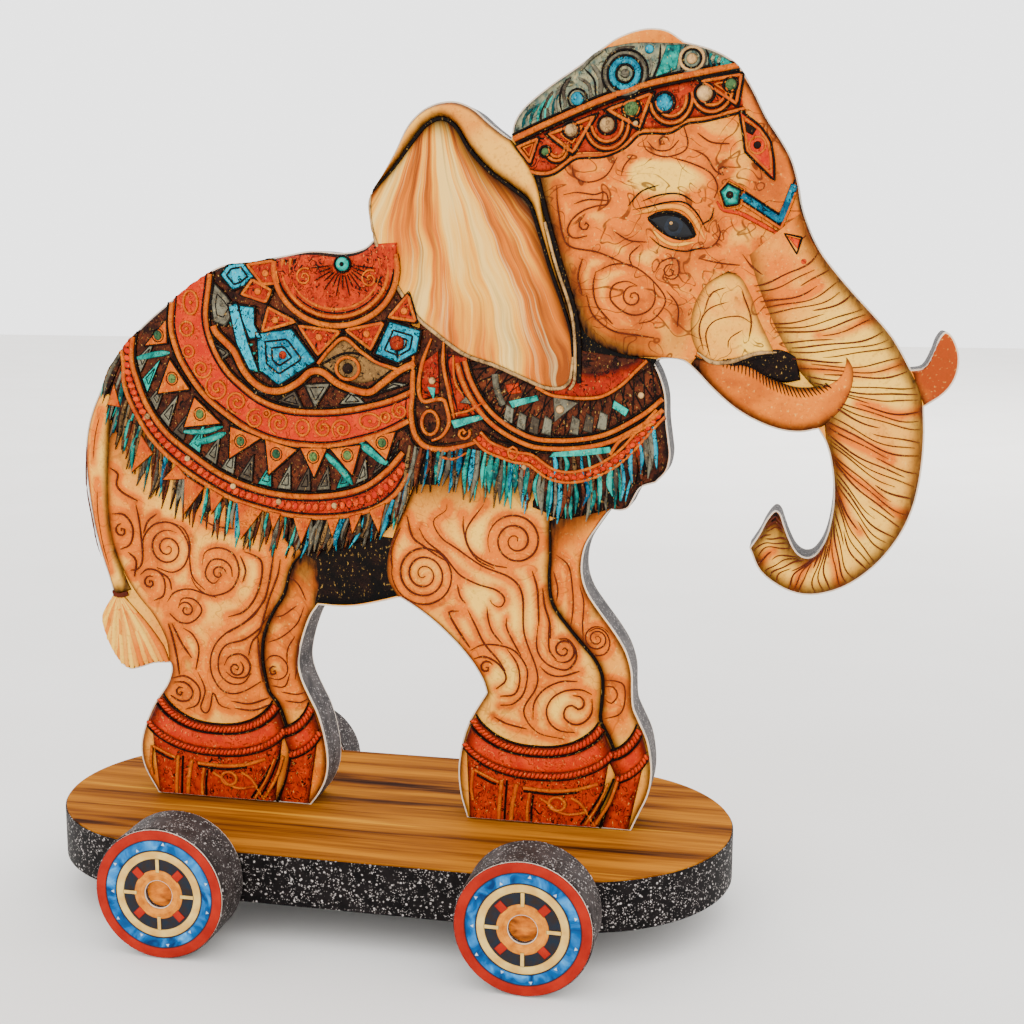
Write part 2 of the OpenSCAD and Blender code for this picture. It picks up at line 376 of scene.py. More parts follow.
def ribbon(line, width, height=0.35, level=0.5, taper=(1, 1), closed=False, tint=0.5, count=None):
    """A half-round profile carried along a line; taper scales its two ends."""
    count = count or int(np.clip(length(line) / 0.8, 6, 260))
    s = np.linspace(0, 1, count, endpoint=not closed)
    path = at(line, s)
    if closed:
        way = np.roll(path, -1, axis=0) - np.roll(path, 1, axis=0)
        way = way / np.maximum(np.hypot(way[:, 0], way[:, 1]), 1e-9)[:, None]
        side = np.stack([-way[:, 1], way[:, 0]], axis=1)
    else:
        side = normals(path)
    swell = np.interp(s, [0, 0.18, 0.82, 1], [taper[0], 1, 1, taper[1]])
    half = np.broadcast_to(width, count) / 2 * swell
    plan = path[:, None] + side[:, None] * (half[:, None] * PROFILE[None, :, 0])[..., None]
    rise = level + height * swell[:, None] * PROFILE[None, :, 1] - 0.12 * (PROFILE[None, :, 1] == 0)
    points = np.dstack([plan, rise]).reshape(-1, 3)
    cols = len(PROFILE)
    faces = grid_faces(count, cols, wrap=closed)
    first = np.arange(count - (not closed)) * cols
    after = (first + cols) % (count * cols)
    faces += np.stack([first, after, after + cols - 1, first + cols - 1], axis=1).tolist()
    if not closed:
        faces.append(list(range(cols)))
        faces.append(list(range((count - 1) * cols, count * cols)))
    across = (PROFILE[:, 0] + 1) / 2
    uv = np.dstack(np.meshgrid(s * length(line) / 10, across, indexing="ij")).reshape(-1, 2)
    return part(points, faces, uv, np.tile(EDGE_SHADE, count), tint)


DOME = np.array([[1.0, -0.12], [1.0, 0.25], [0.86, 0.62], [0.6, 0.87], [0.3, 0.98]])
DOME_SHADE = np.array([0.0, 0.1, 0.75, 1.0, 1.0])


def boss(centre, radius, height=0.4, level=0.5, oval=1.0, turn=0.0, tint=0.5, sides=16):
    """A low dome: rings that shrink and rise to one middle point. oval stretches its length."""
    angle = np.linspace(0, 2 * math.pi, sides, endpoint=False)
    x = np.cos(angle)[None] * DOME[:, 0, None] * radius * oval
    z = np.sin(angle)[None] * DOME[:, 0, None] * radius
    c, s = math.cos(turn), math.sin(turn)
    rise = np.broadcast_to(level + height * DOME[:, 1, None], x.shape)
    rings = np.stack([centre[0] + x * c - z * s, centre[1] + x * s + z * c, rise], -1)
    points = np.vstack([rings.reshape(-1, 3), [centre[0], centre[1], level + height]])
    index = np.arange(len(DOME) * sides).reshape(len(DOME), sides)
    index = np.hstack([index, index[:, :1]])
    crown = np.stack([index[-1, :-1], index[-1, 1:], np.full(sides, len(points) - 1)], -1)
    faces = quads(index) + crown.tolist() + [index[0, :-1].tolist()]
    uv = (points[:, :2] - np.array(centre)) / radius / 2 + 0.5
    return part(points, faces, uv, np.append(np.repeat(DOME_SHADE, sides), 1.0), tint)


def tile(corners, height=0.35, level=0.5, bevel=0.25, tint=0.5):
    """A flat shape whose edge is bevelled: three copies of its outline, each nearer its middle."""
    plan = np.array(corners, float)
    count = len(plan)
    middle = plan.mean(axis=0)
    reach = np.hypot(*(plan - middle).T).mean()
    inner = middle + (plan - middle) * max(0.2, 1 - 1.8 * bevel / reach)
    rows = [(plan, level - 0.12), (plan, level + height * 0.45), (inner, level + height)]
    points = np.vstack([np.column_stack([p, np.full(count, h)]) for p, h in rows])
    index = np.arange(3 * count).reshape(3, count)
    index = np.hstack([index, index[:, :1]])
    faces = quads(index) + [index[0, :-1].tolist(), index[2, :-1].tolist()]
    uv = (points[:, :2] - middle) / reach / 2 + 0.5
    return part(points, faces, uv, np.repeat([0.0, 0.1, 1.0], count), tint)


def sheet(outline, top):
    """A thin flat sheet with an upright wall, for a shape that isn't round or ruled."""
    count = len(outline)
    points = np.vstack([np.column_stack([outline, np.full(count, h)]) for h in (-SUNK, top)])
    low = np.arange(count)
    wall = np.stack([low, np.roll(low, -1), np.roll(low, -1) + count, low + count], 1).tolist()
    return part(points, wall + [low.tolist(), (low + count).tolist()],
                points[:, :2] / 10, 1.0, 0.5)


# %% [markdown]
# ## Putting solids together
#
# A piece is one Blender object made of many small solids in one finish. The relief is the same
# picture on both faces of the board, so each piece is built twice from the same arrays, once on
# the right face and once mirrored through the board's middle plane onto the left one.

# %% Build a piece
PIECES = []


def mesh_from(name, parts, place):
    """Join the parts' arrays into one mesh with its surface coordinates, shade and tint."""
    points = place(np.vstack([p["points"] for p in parts]))
    faces = []
    start = 0
    for p in parts:
        faces += [[start + i for i in face] for face in p["faces"]]
        start += len(p["points"])
    mesh = bpy.data.meshes.new(name)
    mesh.from_pydata(points.tolist(), [], faces)
    for key in ("shade", "tint"):
        layer = mesh.attributes.new(key, "FLOAT", "POINT")
        layer.data.foreach_set("value", np.concatenate([p[key] for p in parts]).astype(np.float32))
    corner = np.empty(len(mesh.loops), np.int32)
    mesh.loops.foreach_get("vertex_index", corner)
    uv = np.vstack([p["uv"] for p in parts])[corner]
    mesh.uv_layers.new(name="surface").data.foreach_set("uv", uv.astype(np.float32).ravel())
    work = bmesh.new()
    work.from_mesh(mesh)
    bmesh.ops.remove_doubles(work, verts=work.verts, dist=2e-6)
    bmesh.ops.dissolve_degenerate(work, edges=work.edges, dist=1e-6)
    bmesh.ops.recalc_face_normals(work, faces=work.faces)
    work.to_mesh(mesh)
    work.free()
    mesh.polygons.foreach_set("use_smooth", np.ones(len(mesh.polygons), bool))
    mesh.set_sharp_from_angle(angle=math.radians(40))
    return mesh


def add_object(name, mesh, finish, body):
    """Make the object at the origin, give it its finish, and let it ride on a body."""
    mesh.materials.append(finish)
    piece = bpy.data.objects.new(name, mesh)
    bpy.context.scene.collection.objects.link(piece)
    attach(piece, body)
    PIECES.append(piece)
    return piece


def relief(name, parts, finish):
    """Build one piece of the picture on both faces of the board."""
    parts = [dict(p, points=fenced(p["points"])) for p in parts]
    for side, word in ((RIGHT, "right"), (LEFT, "left")):
        mesh = mesh_from(f"{name}_{word}", parts, lambda drawn, s=side: on_face(drawn, s))
        add_object(f"{name}_{word}", mesh, finish, BODY)
    print(f"{name}: {len(parts)} solids, {len(mesh.polygons)} faces a side")


# %% [markdown]
# ## Writing shader maths as sums
#
# Blender's shader maths is a web of small nodes. A class that wraps a socket and answers to
# `+`, `-`, `*` and the rest lets a recipe be written as a sum instead. A second class holds one
# finish: it makes any other node from its type, its settings and its sockets.

# %% Shader helpers


class Value:
    """A number socket that can be used in sums."""

    def __init__(self, finish, socket):
        self.finish, self.socket = finish, socket

    def _math(self, operation, *inputs, clamp=False):
        made = self.finish.node("ShaderNodeMath", {"operation": operation, "use_clamp": clamp},
                                dict(enumerate(inputs)))
        return Value(self.finish, made.outputs[0])

    def __add__(self, other):
        return self._math("ADD", self, other)

    def __mul__(self, other):
        return self._math("MULTIPLY", self, other)

    def __sub__(self, other):
        return self._math("SUBTRACT", self, other)

    def __rsub__(self, other):
        return self._math("SUBTRACT", other, self)

    def __truediv__(self, other):
        return self._math("DIVIDE", self, other)

    def __pow__(self, other):
        return self._math("POWER", self, other)

    __radd__ = __add__
    __rmul__ = __mul__

    def clamped(self):
        return self._math("ADD", self, 0, clamp=True)

    def distance(self, other):
        return self._math("ABSOLUTE", self - other)

    def fraction(self):
        return self._math("FRACT", self)

    def above(self, low, high):
        """0 below low, 1 above high and straight between them."""
        made = self.finish.node("ShaderNodeMapRange", {}, {0: self, 1: low, 2: high, 3: 0, 4: 1})
        return Value(self.finish, made.outputs[0])


class Finish:
    """One paint or wood: a Principled shader and the nodes that feed it."""

    def __init__(self, name, roughness=0.6, coat=0.0, specular=0.06):
        self.material = bpy.data.materials.new(name)
        self.material.use_nodes = True
        self.tree = self.material.node_tree
        self.tree.nodes.clear()
        self.shader = self.node("ShaderNodeBsdfPrincipled", {}, {
            "Roughness": roughness,
            "Coat Weight": coat,
            "Coat Roughness": 0.25,
            "Specular IOR Level": specular,
        })
        self.node("ShaderNodeOutputMaterial", {}, {"Surface": self.shader.outputs[0]})
        self.where = self.node("ShaderNodeTexCoord").outputs["Object"]

    def node(self, kind, settings=None, sockets=None):
        """Make a node, set its settings first, then give its sockets values or links."""
        made = self.tree.nodes.new(kind)
        for key, value in (settings or {}).items():
            if key == "stops":
                ramp = made.color_ramp
                while len(ramp.elements) < len(value):
                    ramp.elements.new(0.5)
                for element, (place, colour) in zip(ramp.elements, value):
                    element.position, element.color = place, (*colour, 1)
            else:
                setattr(made, key, value)
        for key, value in (sockets or {}).items():
            value = value.socket if isinstance(value, Value) else value
            if isinstance(value, bpy.types.NodeSocket):
                self.tree.links.new(value, made.inputs[key])
            elif isinstance(value, tuple) and len(value) == 3 and made.inputs[key].type == "RGBA":
                made.inputs[key].default_value = (*value, 1)
            else:
                made.inputs[key].default_value = value
        return made

    def noise(self, size, detail=3, warp=0.0, stretch=(1, 1, 1), rough=0.5):
        """Cloudy noise whose blobs are about size millimetres across."""
        spread = self.node("ShaderNodeMapping", {}, {0: self.where, 3: stretch})
        made = self.node("ShaderNodeTexNoise", {}, {
            "Vector": spread.outputs[0], "Scale": 1 / (size * MM), "Detail": detail,
            "Distortion": warp, "Roughness": rough,
        })
        return Value(self, made.outputs[0])

    def engraved(self, size, lines=3.0, width=0.06, warp=1.0):
        """Thin lines where a slow noise passes even steps, as contour lines on a map."""
        step = (self.noise(size, 1, warp=warp) * lines).fraction().distance(0.5)
        return 1 - step.above(width * 0.4, width)

    def cells(self, size):
        """Distance to the middle of the nearest of many scattered cells."""
        made = self.node("ShaderNodeTexVoronoi", {}, {
            "Vector": self.where, "Scale": 1 / (size * MM),
        })
        return Value(self, made.outputs[0])

    def attribute(self, name):
        """A number stored on the piece's own points."""
        made = self.node("ShaderNodeAttribute", {"attribute_name": name})
        return Value(self, made.outputs["Fac"])

    def mix(self, share, a, b):
        """Colour b over colour a by a share from 0 to 1."""
        made = self.node("ShaderNodeMix", {"data_type": "RGBA"}, {0: share, 6: a, 7: b})
        return made.outputs[2]

    def bump(self, height, strength, depth):
        """Tilt the surface by a height field, depth in millimetres."""
        made = self.node("ShaderNodeBump", {}, {
            "Height": height, "Strength": strength, "Distance": depth * MM,
        })
        self.tree.links.new(made.outputs[0], self.shader.inputs["Normal"])

    def feed(self, socket, value):
        """Link a colour or number to the shader."""
        value = value.socket if isinstance(value, Value) else value
        self.tree.links.new(value, self.shader.inputs[socket])


def shown(red, green, blue):
    """The paint that looks like this screen colour, 0 to 255, in the studio's strong light.

    The picture's tone curve lifts and pales what is lit strongly. So a paint is mixed further
    from grey the paler it is, and then deeper, as a share of its 2.28th power.
    """
    share = np.array([red, green, blue]) / 255
    grey = share.mean()
    vivid = np.clip(grey + (share - grey) * (0.54 + 2.67 * grey ** 2), 0, None)
    return tuple(np.clip(0.5 * vivid ** 2.28 * (1 + 0.8 * grey ** 8), 0, 0.9))


# %% [markdown]
# ## Paints
#
# The picture is printed and varnished: a satin sheet with a fine paper tooth. Ornament colours
# share one recipe, so that they look like one painter's work. Two tones are mixed by cloudy
# noise and by each solid's own tint, thin dark strokes break them up, and the drawn shadow
# along edges comes from the shade stored on the points.

# %% Ornament paint


def paint(name, main, second, shadow=(30, 10, 8), stroke=0.6, cloud=3.0, roughness=0.42,
          carve=0.55):
    """Two tones clouded together, with engraved lines, dark strokes and a drawn shadow."""
    f = Finish(name, roughness=roughness)
    cloud_share = (f.noise(cloud, 4) * 2.2 - 0.6 + (f.attribute("tint") - 0.5) * 1.2).clamped()
    colour = f.mix(cloud_share, shown(*main), shown(*second))
    cut = f.engraved(2.6, lines=4.0, width=0.16, warp=1.6) * f.noise(3.0, 2).above(0.42, 0.55)
    colour = f.mix(cut * carve, colour, shown(*shadow))
    strokes = f.noise(0.8, 3, warp=1.5, stretch=(1, 1, 0.5)).above(0.55, 0.68)
    colour = f.mix(strokes * stroke, colour, shown(*shadow))
    glint = f.noise(0.45, 2, stretch=(1, 1, 0.6)).above(0.64, 0.76)
    colour = f.mix(glint * 0.4, colour, shown(255, 226, 180))
    colour = f.mix((1 - f.attribute("shade")) ** 0.8, colour, shown(*shadow))
    f.feed("Base Color", colour)
    f.feed("Roughness", f.noise(2.0, 2) * 0.2 + (roughness - 0.1))
    f.bump(f.noise(0.5, 3) - cut * 0.8, 0.6, 0.08)
    return f.material


RED = paint("red_paint", (240, 50, 14), (254, 96, 30), stroke=0.25)
GOLD = paint("gold_paint", (224, 84, 20), (246, 148, 46), stroke=0.45, carve=0.4)
BRICK = paint("brick_paint", (160, 30, 10), (222, 66, 20), carve=0.8)
CARVED = paint("carved_red_paint", (206, 34, 2), (246, 82, 14), stroke=0.75, cloud=1.6, carve=1.0)
BLUE = paint("blue_paint", (0, 104, 146), (34, 196, 214), shadow=(4, 20, 30), stroke=0.8, carve=1.0,
             cloud=2.0)
TEAL = paint("teal_paint", (0, 96, 98), (76, 204, 186), shadow=(4, 26, 26), cloud=2.0)
OLIVE = paint("olive_paint", (60, 40, 26), (166, 126, 80), shadow=(16, 12, 8), carve=1.0,
              stroke=0.9, cloud=2.2)
BROWN = paint("brown_paint", (70, 24, 12), (156, 66, 28), shadow=(14, 8, 6), carve=1.0,
              stroke=0.9, cloud=2.2)
CREAM = paint("cream_paint", (232, 206, 172), (170, 134, 96), shadow=(40, 26, 18), stroke=0.5)
GREY = paint("grey_paint", (150, 146, 128), (96, 80, 62), shadow=(20, 16, 12), stroke=0.6,
             cloud=2.0)
CAP_GROUND = paint("cap_ground_paint", (30, 110, 116), (196, 188, 160), shadow=(14, 24, 22), cloud=1.6,
                   carve=0.8, stroke=0.5)
GREEN = paint("green_paint", (54, 110, 70), (120, 150, 90), shadow=(12, 20, 10), stroke=0.7)
# Dark ground paint, which also makes the sheets of painted shadow under the jaw, between the legs, at the
# mouth and under the fringes.
DARK_GROUND_AND_SHADOW = paint("dark_ground_and_shadow_paint", (26, 16, 14), (70, 32, 18), shadow=(6, 6, 6))
print("ornament paints:", 13)

# %% [markdown]
# ## Skin
#
# The elephant's skin is a wash of orange over cream, covered with thin scrolling brown lines.
# The lines are contour lines of a slow noise: where its value passes an even step, a thin dark
# stroke is drawn, as on a map. The long spirals are real ribbons laid on later.

# %% Skin paint


def skin(name, cream=(255, 222, 160), orange=(246, 144, 52), shadow=(40, 18, 8), line=0.5,
         bias=0.0, cloud=16.0):
    """A cream and orange wash with contour lines; bias above 0 makes it more orange."""
    f = Finish(name)
    wash = (f.noise(cloud, 5, warp=0.8) * 2.2 - 0.6 + bias
            + (0.5 - f.attribute("tint")) * 1.9).clamped()
    colour = f.mix(wash, shown(*cream), shown(*orange))
    deep = (f.noise(cloud * 0.4, 5, warp=1.0) * 3.0 - 1.5
            + (0.2 - f.attribute("tint")) * 1.6).clamped()
    colour = f.mix(deep * 0.75, colour, shown(204, 92, 34))
    thin = (f.engraved(13, lines=5.0, width=0.06, warp=1.4) * f.noise(8, 2).above(0.4, 0.52)
            + f.engraved(8, lines=5.0, width=0.05) * f.noise(10, 2).above(0.48, 0.56)).clamped()
    colour = f.mix(thin * line, colour, shown(120, 36, 14))
    tooth = f.noise(0.8, 3)
    colour = f.mix(tooth.above(0.54, 0.7) * 0.3, colour, shown(170, 84, 34))
    # Small pale flecks are painted highlights.
    colour = f.mix(f.noise(0.7, 2).above(0.62, 0.74) * 0.35, colour, shown(252, 228, 180))
    shade = f.attribute("shade")
    hatch = f.noise(1.1, 4, warp=0.6, stretch=(1, 1, 0.3)) * 0.5 - 0.25
    dim = (1 - shade + hatch * (1 - shade)).clamped()
    colour = f.mix(dim * 0.75, colour, shown(186, 88, 34))
    colour = f.mix(dim ** 1.8, colour, shown(*shadow))
    f.feed("Base Color", colour)
    f.feed("Roughness", tooth * 0.2 + 0.4)
    f.bump(tooth - thin * 0.6, 0.5, 0.08)
    return f.material


SKIN = skin("skin_paint", line=0.8)
LEG_SKIN = skin("leg_skin_paint", line=0.3)
TRUNK_SKIN = skin("trunk_skin_paint", line=0.0, cloud=20.0)
PLAIN_SKIN = skin("tail_skin_paint", bias=0.1, line=0.0)
TUSK = skin("tusk_paint", cream=(240, 152, 72), orange=(204, 84, 26), line=0.0, cloud=9.0)
LINE = paint("drawn_line_paint", (104, 28, 10), (150, 50, 20), shadow=(120, 40, 16), stroke=0.1,
             carve=0.0)
BLACK = paint("dark_line_paint", (22, 12, 12), (44, 22, 16), stroke=0.1, carve=0.0)
print("skin paints:", 5)

# %% [markdown]
# ## Sawn edges, deck and wheels
#
# The sawn edges are painted dark and spattered with white. Scattered cells make the spatter:
# where a point lies close to a cell's middle it is white, and noise tears the dots up. The
# deck's sheet is a print of honey-coloured wood: noise stretched a long way along the deck
# gives its streaks.

# %% Edge, deck and dowel finishes


def spatter(name, ground, second, amount, size=1.1):
    """Dark paint with torn white spatter in two sizes."""
    f = Finish(name)
    colour = f.mix(f.noise(4, 4).above(0.35, 0.65), shown(*ground), shown(*second))
    torn = f.noise(0.7, 4, warp=1.0)
    big = (1 - f.cells(size).above(0.16, 0.34)) * torn.above(0.46, 0.56)
    small = (1 - f.cells(size * 0.45).above(0.14, 0.3)) * f.noise(2.5, 2).above(0.45, 0.6)
    white = (big + small).clamped() * amount
    colour = f.mix(white, colour, shown(226, 222, 220))
    f.feed("Base Color", colour)
    f.bump(white + torn * 0.5, 0.5, 0.08)
    return f.material


def planks(name):
    """A print of straight-grained honey wood, its streaks running along the deck."""
    f = Finish(name, roughness=0.75, specular=0.02)
    wave = f.noise(60, 2)
    streak = f.noise(5.0, 5, warp=0.35, stretch=(0.05, 1, 1), rough=0.6)
    fine = f.noise(1.1, 4, stretch=(0.035, 1, 1))
    tone = streak * 0.8 + fine * 0.25 + wave * 0.12
    made = f.node("ShaderNodeValToRGB", {"stops": [
        (0.40, shown(72, 30, 8)), (0.46, shown(116, 58, 16)), (0.52, shown(160, 88, 24)),
        (0.6, shown(184, 114, 38)), (0.74, shown(208, 146, 62)),
    ]}, {0: tone})
    yellow = f.noise(2.2, 2, stretch=(0.03, 1, 1)).above(0.66, 0.72)
    colour = f.mix(yellow * 0.6, made.outputs[0], shown(226, 176, 84))
    f.feed("Base Color", colour)
    f.feed("Roughness", fine * 0.2 + 0.65)
    f.bump(streak + fine, 0.3, 0.05)
    return f.material


def dowel_wood(name):
    """Bare dowel: orange-brown wood with darker end grain lines."""
    f = Finish(name, roughness=0.5)
    grain = f.noise(1.6, 4, warp=0.4, stretch=(0.35, 0.12, 1))
    made = f.node("ShaderNodeValToRGB", {"stops": [
        (0.35, shown(166, 84, 30)), (0.5, shown(222, 132, 58)), (0.65, shown(240, 166, 90)),
    ]}, {0: grain})
    f.feed("Base Color", made.outputs[0])
    f.bump(grain, 0.4, 0.08)
    return f.material


BOARD_EDGE = spatter("board_edge_paint", (74, 68, 68), (112, 104, 102), 0.75, 0.9)
DECK_EDGE = spatter("deck_edge_paint", (26, 22, 23), (44, 36, 36), 1.0, 1.0)
TREAD = spatter("wheel_tread_paint", (58, 48, 46), (84, 74, 72), 0.8, 0.9)
PLANKS = planks("deck_wood_print")
DOWEL = dowel_wood("dowel_wood")


def sheet_white(name):
    """The white paper of a printed sheet, which shows as a thin line along its edge."""
    f = Finish(name, roughness=0.6)
    f.feed("Base Color", f.mix(f.noise(1.5, 3).above(0.45, 0.7) * 0.35,
                               shown(238, 232, 224), shown(196, 184, 172)))
    f.bump(f.noise(0.4, 2), 0.4, 0.04)
    return f.material


PAPER = sheet_white("sheet_paper")


def finish_node(node, material):
    """Give a CAD node its finish in every material slot."""
    data = bpy.data.objects[node].data
    data.materials.clear()
    data.materials.append(material)


finish_node("elephant_board", BOARD_EDGE)
finish_node("elephant_right_print", PAPER)
finish_node("elephant_left_print", PAPER)
finish_node("deck_board", DECK_EDGE)
finish_node("deck_top_print", PLANKS)
for end in ("front", "rear"):
    finish_node(f"{end}_axle", DOWEL)
    for hand in ("right", "left"):
        finish_node(f"{end}_{hand}_wheel", TREAD)
        for face in ("outer", "inner"):
            finish_node(f"{end}_{hand}_wheel_{face}_print", PAPER)
print("CAD nodes finished:", len(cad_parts))

# %% [markdown]
# ## Legs, belly and tail
#
# The far legs and the belly, a dark sheet of painted shadow between them, lie lowest in the
# relief, and the near legs are laid over them. Each leg is a patch between its front and back
# lines, and where a line is the silhouette it is taken from the CAD sheet. Drawn shadows run
# down both sides of every leg.

# %% Far legs and belly
FAR = 0.25
NEAR = 0.55
OVER = 0.9

closed_rim = np.vstack([SILHOUETTE, SILHOUETTE[:1]])
relief("under_sheet", [sheet(shifted(closed_rim, -WHITE_RIM)[:-1], 0.1)], PLAIN_SKIN)


def strokes(lines, width=0.42, height=0.16, level=NEAR + 0.3, taper=(0.25, 0.25)):
    """One ribbon for every list of points."""
    return [ribbon(curve(p), width, height, level, taper=taper) for p in lines]


rear_split = curve([(-20.5, 64), (-23.6, 60), (-25.5, 53.5), (-28, 49.5), (-30, 45.5), (-31.2, 41.5),
                    (-31.5, 37), (-31, 33), (-30, 28.5), (-27.7, 25.5), (-26, 21), (-24.7, 16),
                    (-24.7, 12), (-26, 6), (-28.5, 0.3)])
front_split = curve([(40, 74), (40.2, 66), (40, 60), (41, 54), (45, 48.5), (48, 45), (51, 41.5),
                     (52.7, 38), (53, 34.5), (52.7, 30), (52.7, 26.5), (55.2, 21.5), (56.7, 16.5),
                     (57, 12.5), (55.5, 8), (52.8, 0.3)])
rear_far_line = np.vstack([curve([(-17, 62), (-16.4, 56)]), rim((-17.6, 50.2), (-19.8, 0.3))])
front_far_line = np.vstack([curve([(58, 84), (56, 79)]), rim((53.4, 76), (60.2, 0.3))])
FAR_STROKES = [curve(p) for p in (
    [(-20.5, 50.5), (-22.5, 46), (-26.5, 42.5), (-30, 41)], [(-28, 47.5), (-26, 48), (-22.5, 50.5)],
    [(-23, 43), (-25, 39.5), (-25.2, 36)], [(-22, 42), (-22.5, 37), (-23.2, 32)],
    [(-31.2, 35.5), (-29.5, 37.5), (-27, 37.5), (-25.2, 35.5), (-25.5, 33), (-27.5, 31.7), (-30, 32)],
    [(-24.5, 33.5), (-26, 30), (-29.5, 30)], [(-27, 28.6), (-23, 28.2), (-20.4, 29)],
    [(-26, 26.4), (-22, 26.2), (-20, 27.4)], [(-26, 59), (-22, 56), (-20, 52)],
    [(48.2, 46), (48.7, 44.5), (51, 42.5), (53.5, 43), (54.5, 45.5), (53.5, 48), (51.5, 49), (49.5, 48)],
    [(53.2, 36.5), (56, 36.5), (58, 35.5), (58.2, 31.5), (57, 28.5), (53.5, 27.2)],
    [(53.5, 32), (55, 31), (56.5, 33), (55.5, 35), (53.5, 35)],
    [(41.5, 66), (44.5, 63.5), (45.5, 58), (45.7, 53.5), (45.2, 49)],
    [(47.2, 59), (48.2, 55), (48, 50), (48.2, 46)], [(41, 62), (42, 58), (41.8, 55)],
)] + [spiral((51.4, 46.4), 3.2, 2.6, 0.4, 1)]
far_leg_parts = [
    patch(rear_split, rear_far_line, FAR, dark={"a": 3.2, "b": 2.4, "0": 16}, tint=0.3, deep=0.1,
          rows=110, cols=34, painted_shade_lines=FAR_STROKES),
    patch(front_split, front_far_line, FAR, dark={"a": 3.0, "b": 2.2, "0": 16}, tint=0.42, deep=0.1,
          rows=110, cols=34, painted_shade_lines=FAR_STROKES),
]
relief("far_legs", far_leg_parts, LEG_SKIN)
relief("far_leg_strokes", [ribbon(line, 0.4, 0.15, FAR + 0.02, taper=(0.25, 0.4))
                           for line in kept(FAR_STROKES)], LINE)

# Between the legs, under the fringe, a dark sheet stands for painted shadow.
belly_line = rim((4.5, 53.6), (-17.4, 50.4))[::-1]
belly_top = curve([(-30, 66), (-18, 68), (-6, 69), (8, 68)])
relief("belly", [patch(belly_line, belly_top, 0.18, dark={"a": 4}, tint=0.3)], DARK_GROUND_AND_SHADOW)

